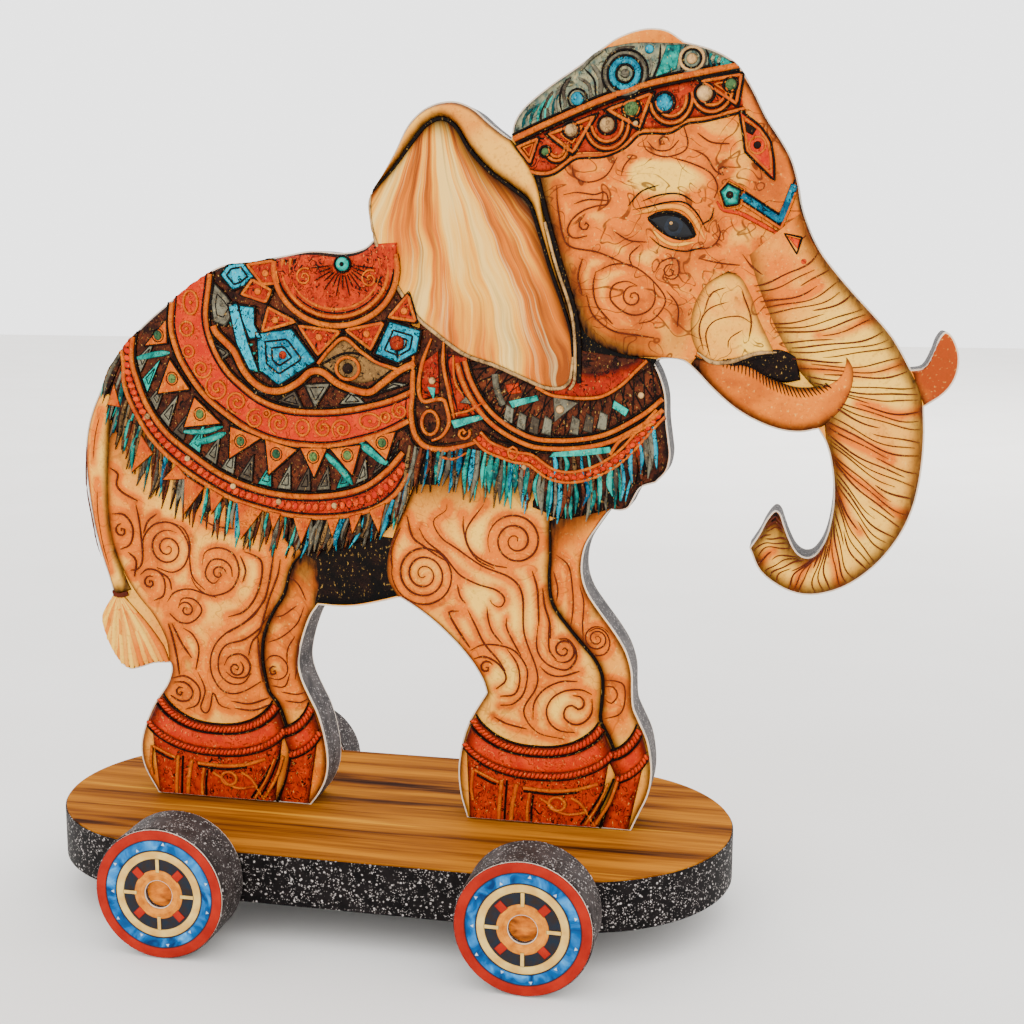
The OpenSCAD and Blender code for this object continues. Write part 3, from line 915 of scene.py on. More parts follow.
# %% Lines drawn on the near legs
LEG_STROKES = [curve(p) for p in (
    [(15.5, 77), (15.2, 75.5), (12.5, 73.5), (12.5, 71.5), (14.5, 68.7), (18, 66.5), (24, 62.7),
     (31, 60), (33.7, 56), (34.2, 47), (37.2, 38.5), (37.2, 34), (34.2, 28), (37.5, 23), (44, 21.7)],
    [(5.7, 74), (7, 69), (9.5, 67), (12.5, 65), (15.2, 63.5)],
    [(8.7, 71), (10.5, 68), (14.5, 65), (17, 62), (19, 60), (23, 58.2), (27.5, 57), (29.5, 55),
     (28.5, 53), (26.7, 53.5), (26, 54.5)],
    [(19.5, 74.5), (19.5, 71.5), (20.5, 67.5), (23, 64), (27, 62.2)],
    [(24.5, 77.5), (20.2, 71), (21.5, 66), (26, 63.2), (30, 62.5)],
    [(18, 58), (18.7, 55), (20, 53.5)], [(18.5, 51.5), (16, 51.2), (16.5, 49.5), (19, 45.5), (21, 42.7)],
    [(20.5, 52), (22.5, 48), (24.5, 44), (28, 40), (29.7, 37.5)],
    [(25.2, 53), (25.5, 50), (26.5, 47), (29, 44)], [(30, 50.5), (30, 48), (32, 44), (33.5, 41.5)],
    [(36, 62), (37.2, 58), (37.5, 54), (37.7, 49)], [(38.5, 58), (39, 54), (40.2, 50), (40.5, 46)],
    [(38, 39.2), (40, 37.5), (43, 37), (47.5, 38.5)], [(2, 61), (1.8, 66), (4, 71)],
    [(40.2, 50), (40.2, 43.5), (42, 41)], [(37.5, 49), (37.2, 44), (38.5, 41), (41, 39.2),
     (44.5, 38.7), (46.5, 41), (46.5, 43.5), (44.7, 46), (42.5, 46)],
    [(36.5, 26), (36.7, 30), (39, 33.5), (43, 35.7), (47, 36)],
    [(50.5, 33), (48, 34), (44, 33.5), (41, 31.5), (39.7, 28.5), (40.5, 25.5), (43, 23.7), (46.5, 23.5)],
    [(50.5, 32), (50.5, 28.5), (48.5, 26), (46, 25.5), (44, 27), (44.2, 29.2), (45.7, 30.1),
     (47.5, 29.2), (48.7, 30.5), (48, 32.2), (46, 32.5)],
    [(21.2, 42), (24, 43.5), (28, 43.7), (32, 42.5), (34.7, 39), (35, 36), (34, 32), (31.5, 29.5),
     (28.5, 29)],
    [(22, 40), (24.5, 40.7), (27.5, 39.5), (29.5, 37.2), (29.7, 35), (27.5, 33)],
    [(30, 43), (32.5, 39.5), (33.2, 35.5), (32, 32), (28.5, 31.2)], [(27, 26), (30, 24.6), (35, 23.6)],
    [(-62, 62), (-61.7, 66), (-59, 69.2), (-55, 70), (-52, 68.5), (-50, 65), (-50, 62), (-51.5, 59),
     (-54.5, 57.5), (-58.5, 58.5)],
    [(-42, 56.5), (-43.5, 55.2), (-45, 56), (-45.7, 58), (-44, 61), (-41, 61.2), (-39, 59.5),
     (-38.7, 57)],
    [(-46.5, 59.5), (-45.5, 63), (-42, 64.2), (-38.5, 63), (-37, 60), (-37.2, 57), (-39, 54),
     (-42, 52.5), (-45, 52.2), (-48, 54), (-49.5, 56.5)],
    [(-63, 56.5), (-61, 58), (-58, 57.5), (-56.5, 55), (-57, 51.5), (-59.5, 50.2)],
    [(-53, 49), (-52, 51), (-49, 51), (-47, 49), (-47.5, 47), (-50, 45), (-53, 45), (-55.5, 47)],
    [(-56, 50), (-54, 52.5), (-50, 53.5), (-46, 52.5), (-43, 51.7)],
    [(-70, 71.5), (-67, 71.5), (-65, 69.5), (-64.5, 67), (-65.5, 64), (-68, 62.7)],
    [(-41.5, 34.5), (-40, 37), (-37, 37.7), (-35, 36), (-34.7, 34), (-36, 32), (-39, 31.7), (-41, 33)],
    [(-29.5, 48), (-32, 44.5), (-36, 41.5), (-40.5, 40), (-42.5, 37.5), (-43, 34), (-42, 31.5),
     (-39.5, 30), (-36.5, 30.5), (-34.5, 33)],
    [(-31, 51.5), (-33, 48), (-37, 45), (-40.5, 43), (-43.5, 40), (-45, 36), (-44.7, 32),
     (-42.5, 28.5), (-39.5, 27.5), (-36, 28.5), (-32, 31)],
    [(-55, 29.5), (-52, 29.5), (-50, 27.5), (-51, 25.2), (-53.5, 24.7), (-56, 26)],
    [(-55.5, 30.5), (-52, 31.2), (-49, 29.5), (-48, 27), (-49, 24), (-52, 22.7)],
    [(-70, 83), (-68, 81.5), (-68.5, 79), (-67, 77), (-63, 75)],
    [(-63.5, 74), (-62.7, 69.5), (-62.2, 61), (-63.5, 58), (-65.5, 57.5)],
    [(-58, 72), (-60.5, 70), (-61.7, 67)],
    [(-54, 70), (-51, 68.5), (-49.5, 65), (-49.7, 61), (-49, 56.5), (-46, 53.5)],
    [(-59, 58), (-55.5, 56), (-54.7, 53)], [(-36.5, 62.5), (-35.2, 59), (-36, 56)],
    [(-35.5, 63.5), (-32.5, 62.5), (-31, 61), (-31.2, 57), (-33, 52), (-36, 48.5), (-40, 47)],
    [(-27.7, 64.5), (-28.5, 60), (-29.5, 55), (-31, 51), (-35, 46.5), (-40, 43)],
    [(-26.2, 62), (-27, 58), (-29, 53), (-30.5, 48.5), (-32, 43.5), (-34, 41), (-35, 37.5)],
    [(-32.5, 42.5), (-32.2, 37), (-31.4, 31)], [(-56, 44.5), (-55, 41), (-54, 36), (-53.5, 31.5)],
    [(-55, 44.5), (-52.5, 39.5), (-50, 36)], [(-52, 43.5), (-49.5, 42), (-48, 38.5), (-49, 33)],
    [(-48.5, 32.5), (-46.7, 28), (-48, 23.5), (-46.7, 22), (-45.5, 23.5), (-44.5, 27.5), (-43, 24.5),
     (-40, 23.5)], [(-40, 25.6), (-35, 25.2), (-30, 27)], [(-39, 23.8), (-34, 23.6), (-29.6, 25.4)],
    [(-66, 62), (-64, 60), (-64.6, 56)], [(-47, 72), (-43, 69.6), (-37, 69)],
)] + [spiral(c, r, turns, start, hand) for c, r, turns, start, hand in (
    ((9.75, 60.0), 8.0, 3.4, 3.0, 1), ((32.0, 69.0), 6.8, 2.6, 3.6, -1), ((43.6, 43.4), 3.2, 1.8, 4.0, 1),
    ((25.0, 38.0), 1.8, 1.3, 0.5, 1), ((-55.5, 63.5), 4.7, 2.2, 1.0, 1), ((-42.2, 57.8), 2.0, 1.4, 0.0, 1),
    ((-60.5, 54.6), 1.8, 1.5, 1.0, 1), ((-51.0, 48.2), 2.2, 1.6, 3.0, -1), ((-67.6, 67.4), 1.8, 1.4, 1.6, 1),
    ((-38.4, 34.0), 2.2, 1.6, 1.0, -1), ((-28.6, 33.8), 1.4, 1.4, 1.0, 1), ((-53.4, 27.0), 1.4, 1.3, 1.0, 1),
)]

# %% Near legs, rump and tail
rear_back_line = rim((-60.4, 0.3), (-56.1, 34))
thigh_back = curve([(-56.4, 34.5), (-57, 40), (-60, 46), (-64.5, 51.5), (-68, 57.5), (-70.6, 65),
                    (-71.4, 74), (-71, 84), (-69.6, 94), (-66, 104)])
near_rear_back = np.vstack([rear_back_line, thigh_back])
near_rear_front = np.vstack([rear_split[::-1], curve([(-20.5, 65), (-22, 72), (-30, 80)])])
near_front_back = np.vstack([rim((20.2, 0.3), (3.6, 53.7)), curve([
    (3.2, 54), (0.8, 58), (0.6, 63), (2.5, 70), (6, 78), (9, 86)])])
near_front_front = np.vstack([front_split[::-1], curve([(40, 75), (43, 80), (46, 88)])])
# On the legs, painted highlights run down the middles and painted shade follows every drawn line.
near_leg_parts = [
    patch(near_rear_back, near_rear_front, NEAR, crown=0.35, rim_w=1.4, tint=0.36, rows=200, cols=90,
          dark={"a": 2.6, "b": 2.4, "1": 24}, deep=0.15, painted_shade_lines=LEG_STROKES,
          highlights_and_tones=[(-52, 60, 10, 12, 0.35), (-44, 48, 8, 6, 0.3), (-49, 38, 5, 12, 0.55),
                  (-36, 57, 5, 8, 0.3)]),
    patch(near_front_back, near_front_front, NEAR, crown=0.35, rim_w=1.4, tint=0.52, rows=200, cols=90,
          dark={"a": 2.2, "b": 2.4, "1": 17}, deep=0.15, painted_shade_lines=LEG_STROKES,
          highlights_and_tones=[(11, 61, 9, 9, 0.3), (22, 70, 8, 9, 0.5), (24, 55, 7, 8, 0.6), (30, 36, 8, 9, 0.5),
                  (42, 30, 8, 7, 0.4), (34, 50, 5, 8, 0.3)]),
]
relief("near_legs", near_leg_parts, LEG_SKIN)

tail_outer = rim((-70.8, 51.2), (-72, 101.8))
tail_inner = curve([(-65.8, 52.4), (-67.4, 56), (-69.5, 62), (-70.7, 68), (-71, 76), (-70.5, 86),
                    (-69.6, 94), (-68, 101)])
TAIL_STROKES = [curve(p) for p in ([(-73, 60), (-75.4, 68), (-76.4, 78), (-76, 88)],
                                   [(-70.8, 57), (-72.6, 64), (-73.6, 72), (-73.4, 80)],
                                   [(-74.4, 84), (-73.4, 91), (-71.6, 97)])]
relief("tail", [patch(tail_outer, tail_inner, NEAR + 0.25, rim_w=1.2, crown=0.3, painted_shade_lines=TAIL_STROKES,
                      dark={"a": 1.2, "b": 1.8, "0": 4}, tint=0.62, deep=0.1, cols=30)], LEG_SKIN)
relief("tail_strokes", [ribbon(line, 0.35, 0.15, OVER + 0.1, taper=(0.2, 0.2))
                        for line in kept(TAIL_STROKES)], LINE)

# %% [markdown]
# The tuft at the tail's end is a fan of tapered locks. Each lock is a narrow patch between two
# lines that start close together at the knot and spread out to the tuft's lower edge.

# %% Tail tuft
tuft_edge = rim((-56.6, 34.3), (-72.2, 49))
knot = np.array([-69.2, 51.4])
tuft_locks = []
LOCKS = 22
for i in range(LOCKS):
    share = (i + 0.5) / LOCKS
    tip = at(tuft_edge, np.array([share]))[0]
    bend = np.array([0.6 * math.sin(i * 1.9), 1.2])
    middle = (tip * 0.55 + knot * 0.45) + bend
    lock = curve([knot + (0.3 * math.sin(i), 0), middle, tip])
    wide = 0.5 + 2.1 * np.linspace(0, 1, len(lock)) ** 0.8
    tuft_locks.append(ribbon(lock, np.interp(np.linspace(0, 1, 12), [0, 0.85, 1], [0.7, 3.0, 1.2]),
                             0.35, NEAR - 0.3, tint=0.3 + 0.5 * ((i * 7) % 5) / 4, count=12))
relief("tail_tuft", tuft_locks, PLAIN_SKIN)
relief("tail_knot", [ribbon(curve([(-71, 51.6), (-69, 50.9), (-66.6, 51.6)]), 1.4, 0.5, NEAR)], LINE)

# %% [markdown]
# ## Anklets
#
# Every foot wears a red anklet: a rope, an orange band, a second rope, and a block of panels
# below. All of them are bowed like hoops seen from a little above, so the bands are made
# between the foot's two sides with the same sag.

# %% Anklet hoops


def hoop(back, front, ends, low, middle=None):
    """A sagging line across a foot, ends high at its sides and low at its middle.

    It is half an oval that stands on the foot's two side lines; where middle is given the near
    part of the oval is hidden, and only what lies beyond middle is seen.
    """
    x0, x1 = side_x(ends, back, 0.45), side_x(ends, front, -0.45)
    centre = (x0 + x1) / 2 if middle is None else middle
    half = x1 - centre
    u = np.linspace((x0 - centre) / half, 1, 40)
    return np.stack([centre + u * half,
                     ends - (ends - low) * np.clip(1 - np.abs(u) ** 2.4, 0, 1) ** 0.8], axis=1)


def side_x(z, edge, shrink=0.4):
    """Where a line crosses height z, moved in from the line by shrink."""
    order = np.argsort(edge[:, 1])
    return float(np.interp(z, edge[order, 1], edge[order, 0])) + shrink


anklet_ropes, anklet_reds, anklet_golds, anklet_darks = [], [], [], []
near_rear_lines = (rear_back_line, rear_split[rear_split[:, 1] < 30][::-1])
near_front_lines = (rim((20.2, 0.3), (24.6, 31.4)), front_split[front_split[:, 1] < 30][::-1])
far_rear_lines = (near_rear_lines[1], rim((-20.4, 30), (-19.8, 0.3))[::-1])
far_front_lines = (near_front_lines[1], rim((60.4, 30), (60.2, 0.3))[::-1])
for back, front, level, middle in (
    (*far_rear_lines, FAR + 0.35, -29.0), (*far_front_lines, FAR + 0.35, 53.0),
    (*near_rear_lines, NEAR + 0.55, None), (*near_front_lines, NEAR + 0.55, None),
):
    def line(ends, low):
        return hoop(back, front, ends, low, middle)

    base = np.array([(side_x(0.6, back), 0.5), (side_x(0.6, front, -0.4), 0.5)])
    anklet_reds.append(patch(line(20.0, 13.0), base, level, rim_w=1.0, tint=0.4, crown=0.1,
                             dark={"0": 2.5, "1": 2.0}, falls="01", deep=0.25, rows=50, cols=24))
    anklet_golds.append(patch(line(24.2, 17.6), line(19.6, 12.8), level + 0.1, rim_w=0.6,
                              crown=0.3, dark={"0": 4, "1": 4, "a": 1.4, "b": 0.8}, tint=0.4,
                              deep=0.15, rows=50, cols=14))
    anklet_ropes.append((line(25.2, 18.2), 2.1, 0.7, level))
    anklet_ropes.append((line(19.2, 12.3), 1.8, 0.6, level))
    anklet_darks += [ribbon(line(23.9, 17.0), 0.5, 0.2, level + 0.25),
                     ribbon(line(18.0, 11.2), 0.45, 0.2, level + 0.1),
                     ribbon(line(26.5, 19.5), 0.5, 0.2, level + 0.1)]
relief("anklet_blocks", anklet_reds, CARVED)
relief("anklet_bands", anklet_golds, RED)
relief("anklet_lines", anklet_darks, BLACK)

# %% [markdown]
# A rope is a row of slanted oval beads on a line. The same function makes the ropes of the
# anklets, of the saddle cloth and of the collar.

# %% Beaded ropes


def rope(line, width, height, level, pitch=1.25, slant=0.9, tint=(0.2, 0.8)):
    """Slanted oval bosses spaced by pitch along a line."""
    count = max(2, int(length(line) / pitch))
    s = (np.arange(count) + 0.5) / count
    middles = at(line, s)
    way = at(line, np.clip(s + 0.01, 0, 1)) - at(line, np.clip(s - 0.01, 0, 1))
    turn = np.arctan2(way[:, 1], way[:, 0]) + slant
    return [
        boss(c, pitch * 0.46, height, level, oval=width / pitch * 1.05, turn=float(a),
             tint=tint[i % 2], sides=8)
        for i, (c, a) in enumerate(zip(middles, turn))
    ]


rope_beads = []
rope_beds = []
for line, width, height, level in anklet_ropes:
    rope_beads += rope(line, width, height * 0.6, level + 0.2, pitch=1.0, tint=(0.3, 0.5))
    rope_beds.append(ribbon(line, width * 1.1, 0.3, level))
relief("anklet_ropes", rope_beads, RED)
relief("anklet_rope_beds", rope_beds, BRICK)


# %% [markdown]
# The lower blocks of the anklets are carved with upright panels, arched frames and scrolls.

# %% Anklet panels
panel_golds, panel_darks = [], []
for shift in (0.0, 83.3):
    panel_golds += [ribbon(curve([(x + shift, z) for x, z in points]), width, 0.4, NEAR + 0.6)
                    for points, width in (
        ([(-61.4, 12.6), (-61.8, 8), (-61.4, 5)], 0.9), ([(-61, 12.6), (-57, 10.8), (-55, 10)], 0.8),
        ([(-54.3, 10.6), (-54.8, 5), (-55, 0.8)], 1.1), ([(-50.6, 9.8), (-51.6, 5), (-52, 0.8)], 1.2),
        ([(-49, 9), (-42, 8.8), (-36, 9.6), (-31, 11.4)], 1.0), ([(-47.4, 8), (-48, 4), (-48, 0.8)], 0.9),
        ([(-45, 6.8), (-42.6, 5.4), (-41, 4), (-38, 3.2), (-34, 4)], 0.8),
        ([(-37.4, 7.4), (-35, 6), (-33, 3), (-31.6, 0.8)], 0.8),
        ([(-26.4, 12.4), (-28.2, 7), (-31.4, 1.4)], 0.9), ([(-28.6, 11.6), (-31, 6), (-34, 1)], 0.7),
    )]
    panel_golds.append(ribbon(oval((-40.8 + shift, 5.6), 2.0, 1.7), 0.9, 0.45, NEAR + 0.6))
    panel_darks += [ribbon(curve([(x + shift, z) for x, z in points]), 0.55, 0.25, NEAR + 0.75)
                    for points in (
        [(-53, 10.6), (-53.4, 5), (-53.6, 0.8)], [(-60.4, 11.4), (-57, 9.8), (-55.6, 9.4)],
        [(-49, 8.2), (-42, 7.9), (-36, 8.8)], [(-46.6, 7.4), (-47, 4), (-47, 0.8)],
        [(-27.2, 13), (-29.6, 7), (-32.6, 1.4)], [(-29.6, 10), (-32.4, 5), (-35, 1)],
    )]
relief("anklet_scrolls", panel_golds, GOLD)
relief("anklet_panel_lines", panel_darks, BLACK)

# %% [markdown]
# ## Scroll lines on the skin
#
# Big spirals with long tails cover the thighs and shins. Each is a thin ribbon along a spiral
# whose tail is led in by a few points.

# %% Leg spirals
relief("leg_strokes", [ribbon(line, 0.5, 0.2, NEAR + 0.3, taper=(0.3, 0.5)) for line in kept(LEG_STROKES)],
       LINE)
split_lines = [
    ribbon(rear_split, 0.8, 0.3, NEAR - 0.1, taper=(0.4, 1)),
    ribbon(front_split, 0.8, 0.3, NEAR - 0.1, taper=(0.4, 1)),
]
relief("leg_split_lines", split_lines, BLACK)

# %% [markdown]
# ## Head, trunk and tusks
#
# The head is one patch from the back of the jaw to the brow, and the trunk continues it as a
# patch between its front and back lines down to the curled tip. The near tusk, the sheath it
# grows from and the lip are laid over them.

# %% Head and trunk
FACE_STROKES = [curve(p) for p in (
    [(41, 150), (41.2, 146), (42.5, 139), (44.5, 136.5), (50, 135.5), (54, 134), (58, 132.2)],
    [(42.5, 148), (45.5, 148.5), (49.5, 148), (52, 148.5), (52.5, 146), (50, 145.5), (47, 144.5),
     (44.5, 142.5), (43.5, 140), (45, 138.5), (48, 139)], [(45, 146), (48, 146.9), (52.5, 146.7)],
    [(44.5, 154.5), (45, 152), (48, 150.7), (52, 152), (54.5, 156)],
    [(60, 160), (61, 157.5), (65, 156), (69, 157), (70, 159), (69, 162.5)],
    [(61, 159.5), (63, 157.5), (66, 157.5), (68, 159.5)], [(55.5, 152), (56, 154), (58, 156.5)],
    [(66, 156), (71, 154.5), (75, 152.5), (76.7, 149.5), (76, 147)],
    [(71, 157.5), (74, 156), (76, 153), (78, 152)], [(72, 161), (75, 159), (79, 158.6)],
    [(59.5, 128), (57, 129), (54, 128), (53.5, 125), (56, 122.5), (59, 121.5), (62, 122.5),
     (63.5, 125), (63, 129)], [(50, 131), (49.5, 127.5), (50.5, 123.5), (54, 119.5)],
    [(50, 131), (54, 132.7), (58, 132.5), (62, 130), (65.5, 126), (65.5, 123.5), (63, 120.5), (60, 119.7)],
    [(63.5, 131.5), (65, 133.5), (68, 134), (68.7, 131), (67.5, 129.5), (65.2, 130)],
    [(48, 126), (49.5, 121.5), (54, 118), (60, 117), (63.5, 116.5)],
    [(70.5, 136), (75.5, 136.5), (77.5, 139), (77, 141.5)], [(86, 137), (87, 133.5), (91, 132), (95, 130)],
    [(82.5, 135), (84.5, 132.5), (88, 130), (93, 128), (97, 125.5)], [(73, 134), (78, 133), (82, 132.6)],
    [(60, 137), (57.6, 134.6), (58.4, 132)], [(54, 140), (57.4, 138), (61.4, 137.6)],
    [(47, 134), (46, 130), (47, 126)], [(66, 127), (68.6, 123.6), (68.6, 119)],
    [(84, 170), (86, 165), (90, 159)], [(90, 163), (93, 157), (95, 150)], [(89, 134), (92.6, 136), (96, 139)],
)] + [spiral(c, r, turns, start, hand) for c, r, turns, start, hand in (
    ((58.5, 125.5), 2.6, 1.6, 1.2, 1), ((66.7, 131.2), 1.7, 1.5, 1.0, 1), ((80.5, 129.2), 1.8, 1.5, 1.0, 1),
    ((47.5, 141.4), 1.6, 1.3, 2.0, 1), ((64.6, 159.2), 1.4, 1.3, 0.0, 1), ((77.6, 152.6), 1.3, 1.2, 0.6, 1))]
head_back = curve([(34, 158), (37, 150), (39.5, 141), (42.5, 131), (45, 122.5), (47.5, 117.5),
                   (51.5, 114.5), (57, 112.6), (62, 112.1), (66.5, 112.3), (70, 112.6), (74, 112.8)])
head_front = np.vstack([curve([(33.5, 160), (45, 164.5), (60, 169.5), (75, 173.5), (81, 173.5)]),
                        rim((83.2, 171), (98.9, 136.4)),
                        curve([(99, 136), (99, 126), (97, 114), (92, 108.4), (80, 110.8)])])
# Painted highlights lift the brow, cheeks and forehead towards cream, one oval makes the forehead more
# orange, and painted shadow deepens under the jaw, round the eye and at the mouth.
head = patch(head_back, head_front, NEAR, crown=0.3, rim_w=1.2, falls="a", tint=0.3, rows=150, cols=110,
             dark={"a": 5.5, "b": 1.6}, deep=0.05, painted_shade_lines=FACE_STROKES,
             highlights_and_tones=[(65, 152, 13, 6, 1.0), (52, 128, 8, 9, 0.3), (60, 135, 8, 5, 0.35),
                     (92, 131, 8, 7, 0.45), (48, 146, 7, 7, 0.35), (82, 139, 6, 4, 0.3),
                     (88, 150, 7, 12, -0.6)],
             hollows=[(46, 122, 7, 14, 0.5), (58, 115, 16, 7, 0.6), (69, 120, 4, 9, 0.45),
                      (70, 133, 5, 5, 0.3), (75, 142, 4, 5, 0.35), (60, 141, 5, 4, 0.3),
                      (76, 108.5, 9, 5, 0.7), (40, 152, 5, 6, 0.35), (86, 137, 5, 5, 0.25)])
relief("head", [head], SKIN)

trunk_front_line = np.vstack([rim((95.6, 143.5), (119.0, 111.2)),
                              curve([(119.9, 109), (121.6, 105.5), (122.3, 102)]),
                              rim((122.6, 101.5), (91.6, 78.4))])
trunk_back_line = np.vstack([curve([(83, 134), (85.5, 126), (90.5, 116), (97, 108), (102, 103),
                                    (101.5, 98)]),
                             rim((92.8, 77.5), (101.6, 94.5))[::-1]])
WRINKLES = 74


def wrinkle(i):
    """A line across the trunk that bows towards the tip; some stop short of one side."""
    s = 0.06 + 0.92 * ((i + 0.5) / WRINKLES) ** 0.92
    short = 0.5 * abs(math.sin(i * 2.4)) ** 3
    t = np.linspace(0.03 + short * (i % 2), 0.97 - short * (1 - i % 2), 16)
    bow = 0.014 * 4 * t * (1 - t) + 0.003 * np.sin(t * 9 + i)
    front = at(trunk_front_line, np.clip(s + bow, 0, 1))
    back = at(trunk_back_line, np.clip(s + bow, 0, 1))
    return front * (1 - t)[:, None] + back * t[:, None]


TRUNK_LINES = [wrinkle(i) for i in range(WRINKLES)]
trunk = patch(trunk_front_line, trunk_back_line, NEAR + 0.1, crown=0.5, rim_w=1.6, falls="ab1",
              dark={"a": 4.5, "b": 6.0}, rows=230, cols=40, deep=0.12,
              tint=np.interp(crowded(230), [0.04, 0.25, 0.6, 1], [0.3, 0.74, 0.66, 0.5])[:, None],
              painted_shade_lines=TRUNK_LINES[3::7])
relief("trunk", [trunk], TRUNK_SKIN)

# %% [markdown]
# Fine wrinkles ring the trunk all the way down, closer together towards the tip, and each one
# bows towards the tip as a ring on a round trunk would.

# %% Trunk wrinkles
relief("trunk_wrinkles", [
    ribbon(line, 0.34 if i % 3 else 0.46, 0.2, NEAR + 0.5, taper=(0.3, 0.3), count=16)
    for i, line in enumerate(TRUNK_LINES)], LINE)

# %% Lip, tusks and sheath
lip_outer = rim((100.0, 96.9), (71.6, 110.2))[::-1]
tusk_outer = np.vstack([lip_outer, curve([(101, 97.4), (105, 100.4), (107.6, 104.8), (108, 110),
                                          (105.2, 114.3)])])
tusk_inner = curve([(73, 112.5), (80, 112.2), (85.5, 111), (89.6, 108.2), (94.5, 106.2),
                    (99.6, 106.4), (103.3, 108.6), (104.7, 111.4), (105.0, 114.2)])
relief("near_tusk", [patch(tusk_outer, tusk_inner, OVER, crown=0.6, rim_w=1.8, falls="ab1",
                           dark={"a": 3.0, "b": 1.5, "0": 8}, tint=0.62, deep=0.1)], TUSK)
tusk_hairs = []
for i in range(30):
    s = 0.16 + 0.62 * i / 29
    root = at(tusk_inner, np.array([s]))[0]
    reach = at(tusk_outer, np.array([s * 0.96 + 0.02]))[0]
    line = curve([root, root * 0.75 + reach * 0.25, root * 0.55 + reach * 0.45])
    tusk_hairs.append(ribbon(line, 0.32, 0.2, OVER + 0.28, taper=(1, 0.1), count=8))
relief("near_tusk_hairs", tusk_hairs, BLACK)

far_tusk_line = rim((119.7, 110.3), (122.7, 102.5))
far_tusk_root = curve([(119.8, 109.6), (121, 106), (122.4, 102.8)])
relief("far_tusk", [patch(far_tusk_line, far_tusk_root, FAR, crown=0.5, rim_w=1.0,
                          dark={"b": 2.2}, tint=0.2, deep=0.2)], TUSK)

sheath_left = curve([(76.5, 110.9), (73.2, 113), (71.3, 117.5), (71.6, 123), (74.4, 128.4),
                     (79.4, 131.4)])
sheath_right = curve([(90.4, 113.6), (88.6, 117.4), (86.6, 121.6), (85, 126), (82.6, 130),
                      (79.6, 131.4)])
sheath = patch(sheath_left, sheath_right, OVER + 0.2, crown=0.4, rim_w=1.2,
               dark={"a": 2.6, "b": 2.2, "1": 6}, tint=0.5, deep=0.2, rows=80, cols=50,
               highlights_and_tones=[(86, 115, 6, 4, 0.5)])
relief("tusk_sheath", [sheath], SKIN)
relief("mouth_shadow", [patch(curve([(76, 111.4), (84, 113.4), (90.6, 114.6), (95, 113)]), curve([
    (78, 110.4), (86, 108.6), (92, 107), (96, 107.6)]), NEAR + 0.42, rim_w=0.8, tint=0.3)], DARK_GROUND_AND_SHADOW)
sheath_rim = curve([(73.2, 113.4), (76.6, 111.3), (81, 111.6), (86, 113.4), (90.6, 113.7)])
relief("tusk_sheath_rim", [ribbon(sheath_rim, 1.1, 0.5, OVER + 0.3, taper=(0.3, 0.3))], CREAM)
relief("tusk_sheath_shadow", [ribbon(shifted(sheath_rim, -0.9), 1.0, 0.2, OVER + 0.1,
                                     taper=(0.3, 0.3))], BLACK)

# %% [markdown]
# ## Face
#
# The eye is a dark glossy almond with a small white glint, set between carved lids under a brow
# made pale by a painted highlight. Spirals on the cheek and fine strokes across the forehead are
# drawn like the ones on the legs.

# %% Eye
eye_upper = curve([(61.6, 142.6), (63.5, 143.4), (66, 143.8), (68.5, 143.2), (70.6, 141.4), (72, 138.9)])
eye_lower = curve([(61.6, 142.6), (63, 141.2), (65.2, 139.4), (67.6, 138.3), (70, 138.2), (72, 138.9)])
relief("eye_socket", [patch(shifted(eye_upper, 0.7), shifted(eye_lower, -0.5), NEAR + 0.45,
                            rim_w=0.7, dark={"a": 0.8, "b": 0.8}, tint=0.2)], DARK_GROUND_AND_SHADOW)
relief("eyelids", [
    ribbon(curve([(58.5, 143.6), (62, 144.6), (65.5, 145.3), (69, 145.0), (71.6, 142.8), (74.2, 138.2)]),
           1.3, 0.5, NEAR + 0.35, taper=(0.2, 0.2), tint=0.5),
    ribbon(curve([(62.6, 140.4), (64.8, 138.2), (67.6, 137), (72, 137.6)]), 0.9, 0.4, NEAR + 0.35,
           taper=(0.2, 0.2), tint=0.6),
], SKIN)


def wet_eye(name):
    """The eyeball: near-black blue with a brown ring, under a clear glossy coat."""
    f = Finish(name, roughness=0.3, coat=0.1, specular=0.15)
    ring = f.attribute("tint")
    colour = f.mix(ring, shown(10, 12, 18), shown(34, 56, 84))
    f.feed("Base Color", f.mix(f.noise(0.8, 2).above(0.4, 0.6) * 0.5, colour, shown(24, 18, 16)))
    return f.material


EYE = wet_eye("eye_gloss")
relief("eyeball", [patch(eye_upper, eye_lower, OVER + 0.1, crown=0.35, rim_w=0.8, tint=0.1)], EYE)
relief("eye_iris", [boss((67.3, 141.0), 2.1, 0.3, OVER + 0.3, tint=0.55, sides=28)], EYE)
relief("eye_pupil", [boss((67.3, 141.0), 1.2, 0.25, OVER + 0.5, tint=0.0, sides=24)], EYE)
relief("eye_glint", [boss((66.8, 141.7), 0.4, 0.15, OVER + 0.72, sides=12)], CREAM)
relief("lid_lines", strokes([
    [(58, 144.6), (62, 145.4), (65.5, 146.2), (69.4, 146.2), (72.2, 144), (74.6, 140)],
    [(60, 146.4), (64, 147.8), (68.4, 148), (72, 146)]], 0.45, 0.25, OVER - 0.1) + strokes([
    [(62, 138.8), (65, 136.6), (70, 135.6), (74, 136.6)], [(57, 145.4), (60, 148.6), (64, 150)],
    [(73.4, 141.4), (75.4, 142.6), (76, 145)]], 0.35, 0.2, NEAR + 0.4)
       + [ribbon(shifted(eye_upper, 0.35), 0.7, 0.3, OVER + 0.1, taper=(0.3, 0.3))], BLACK)

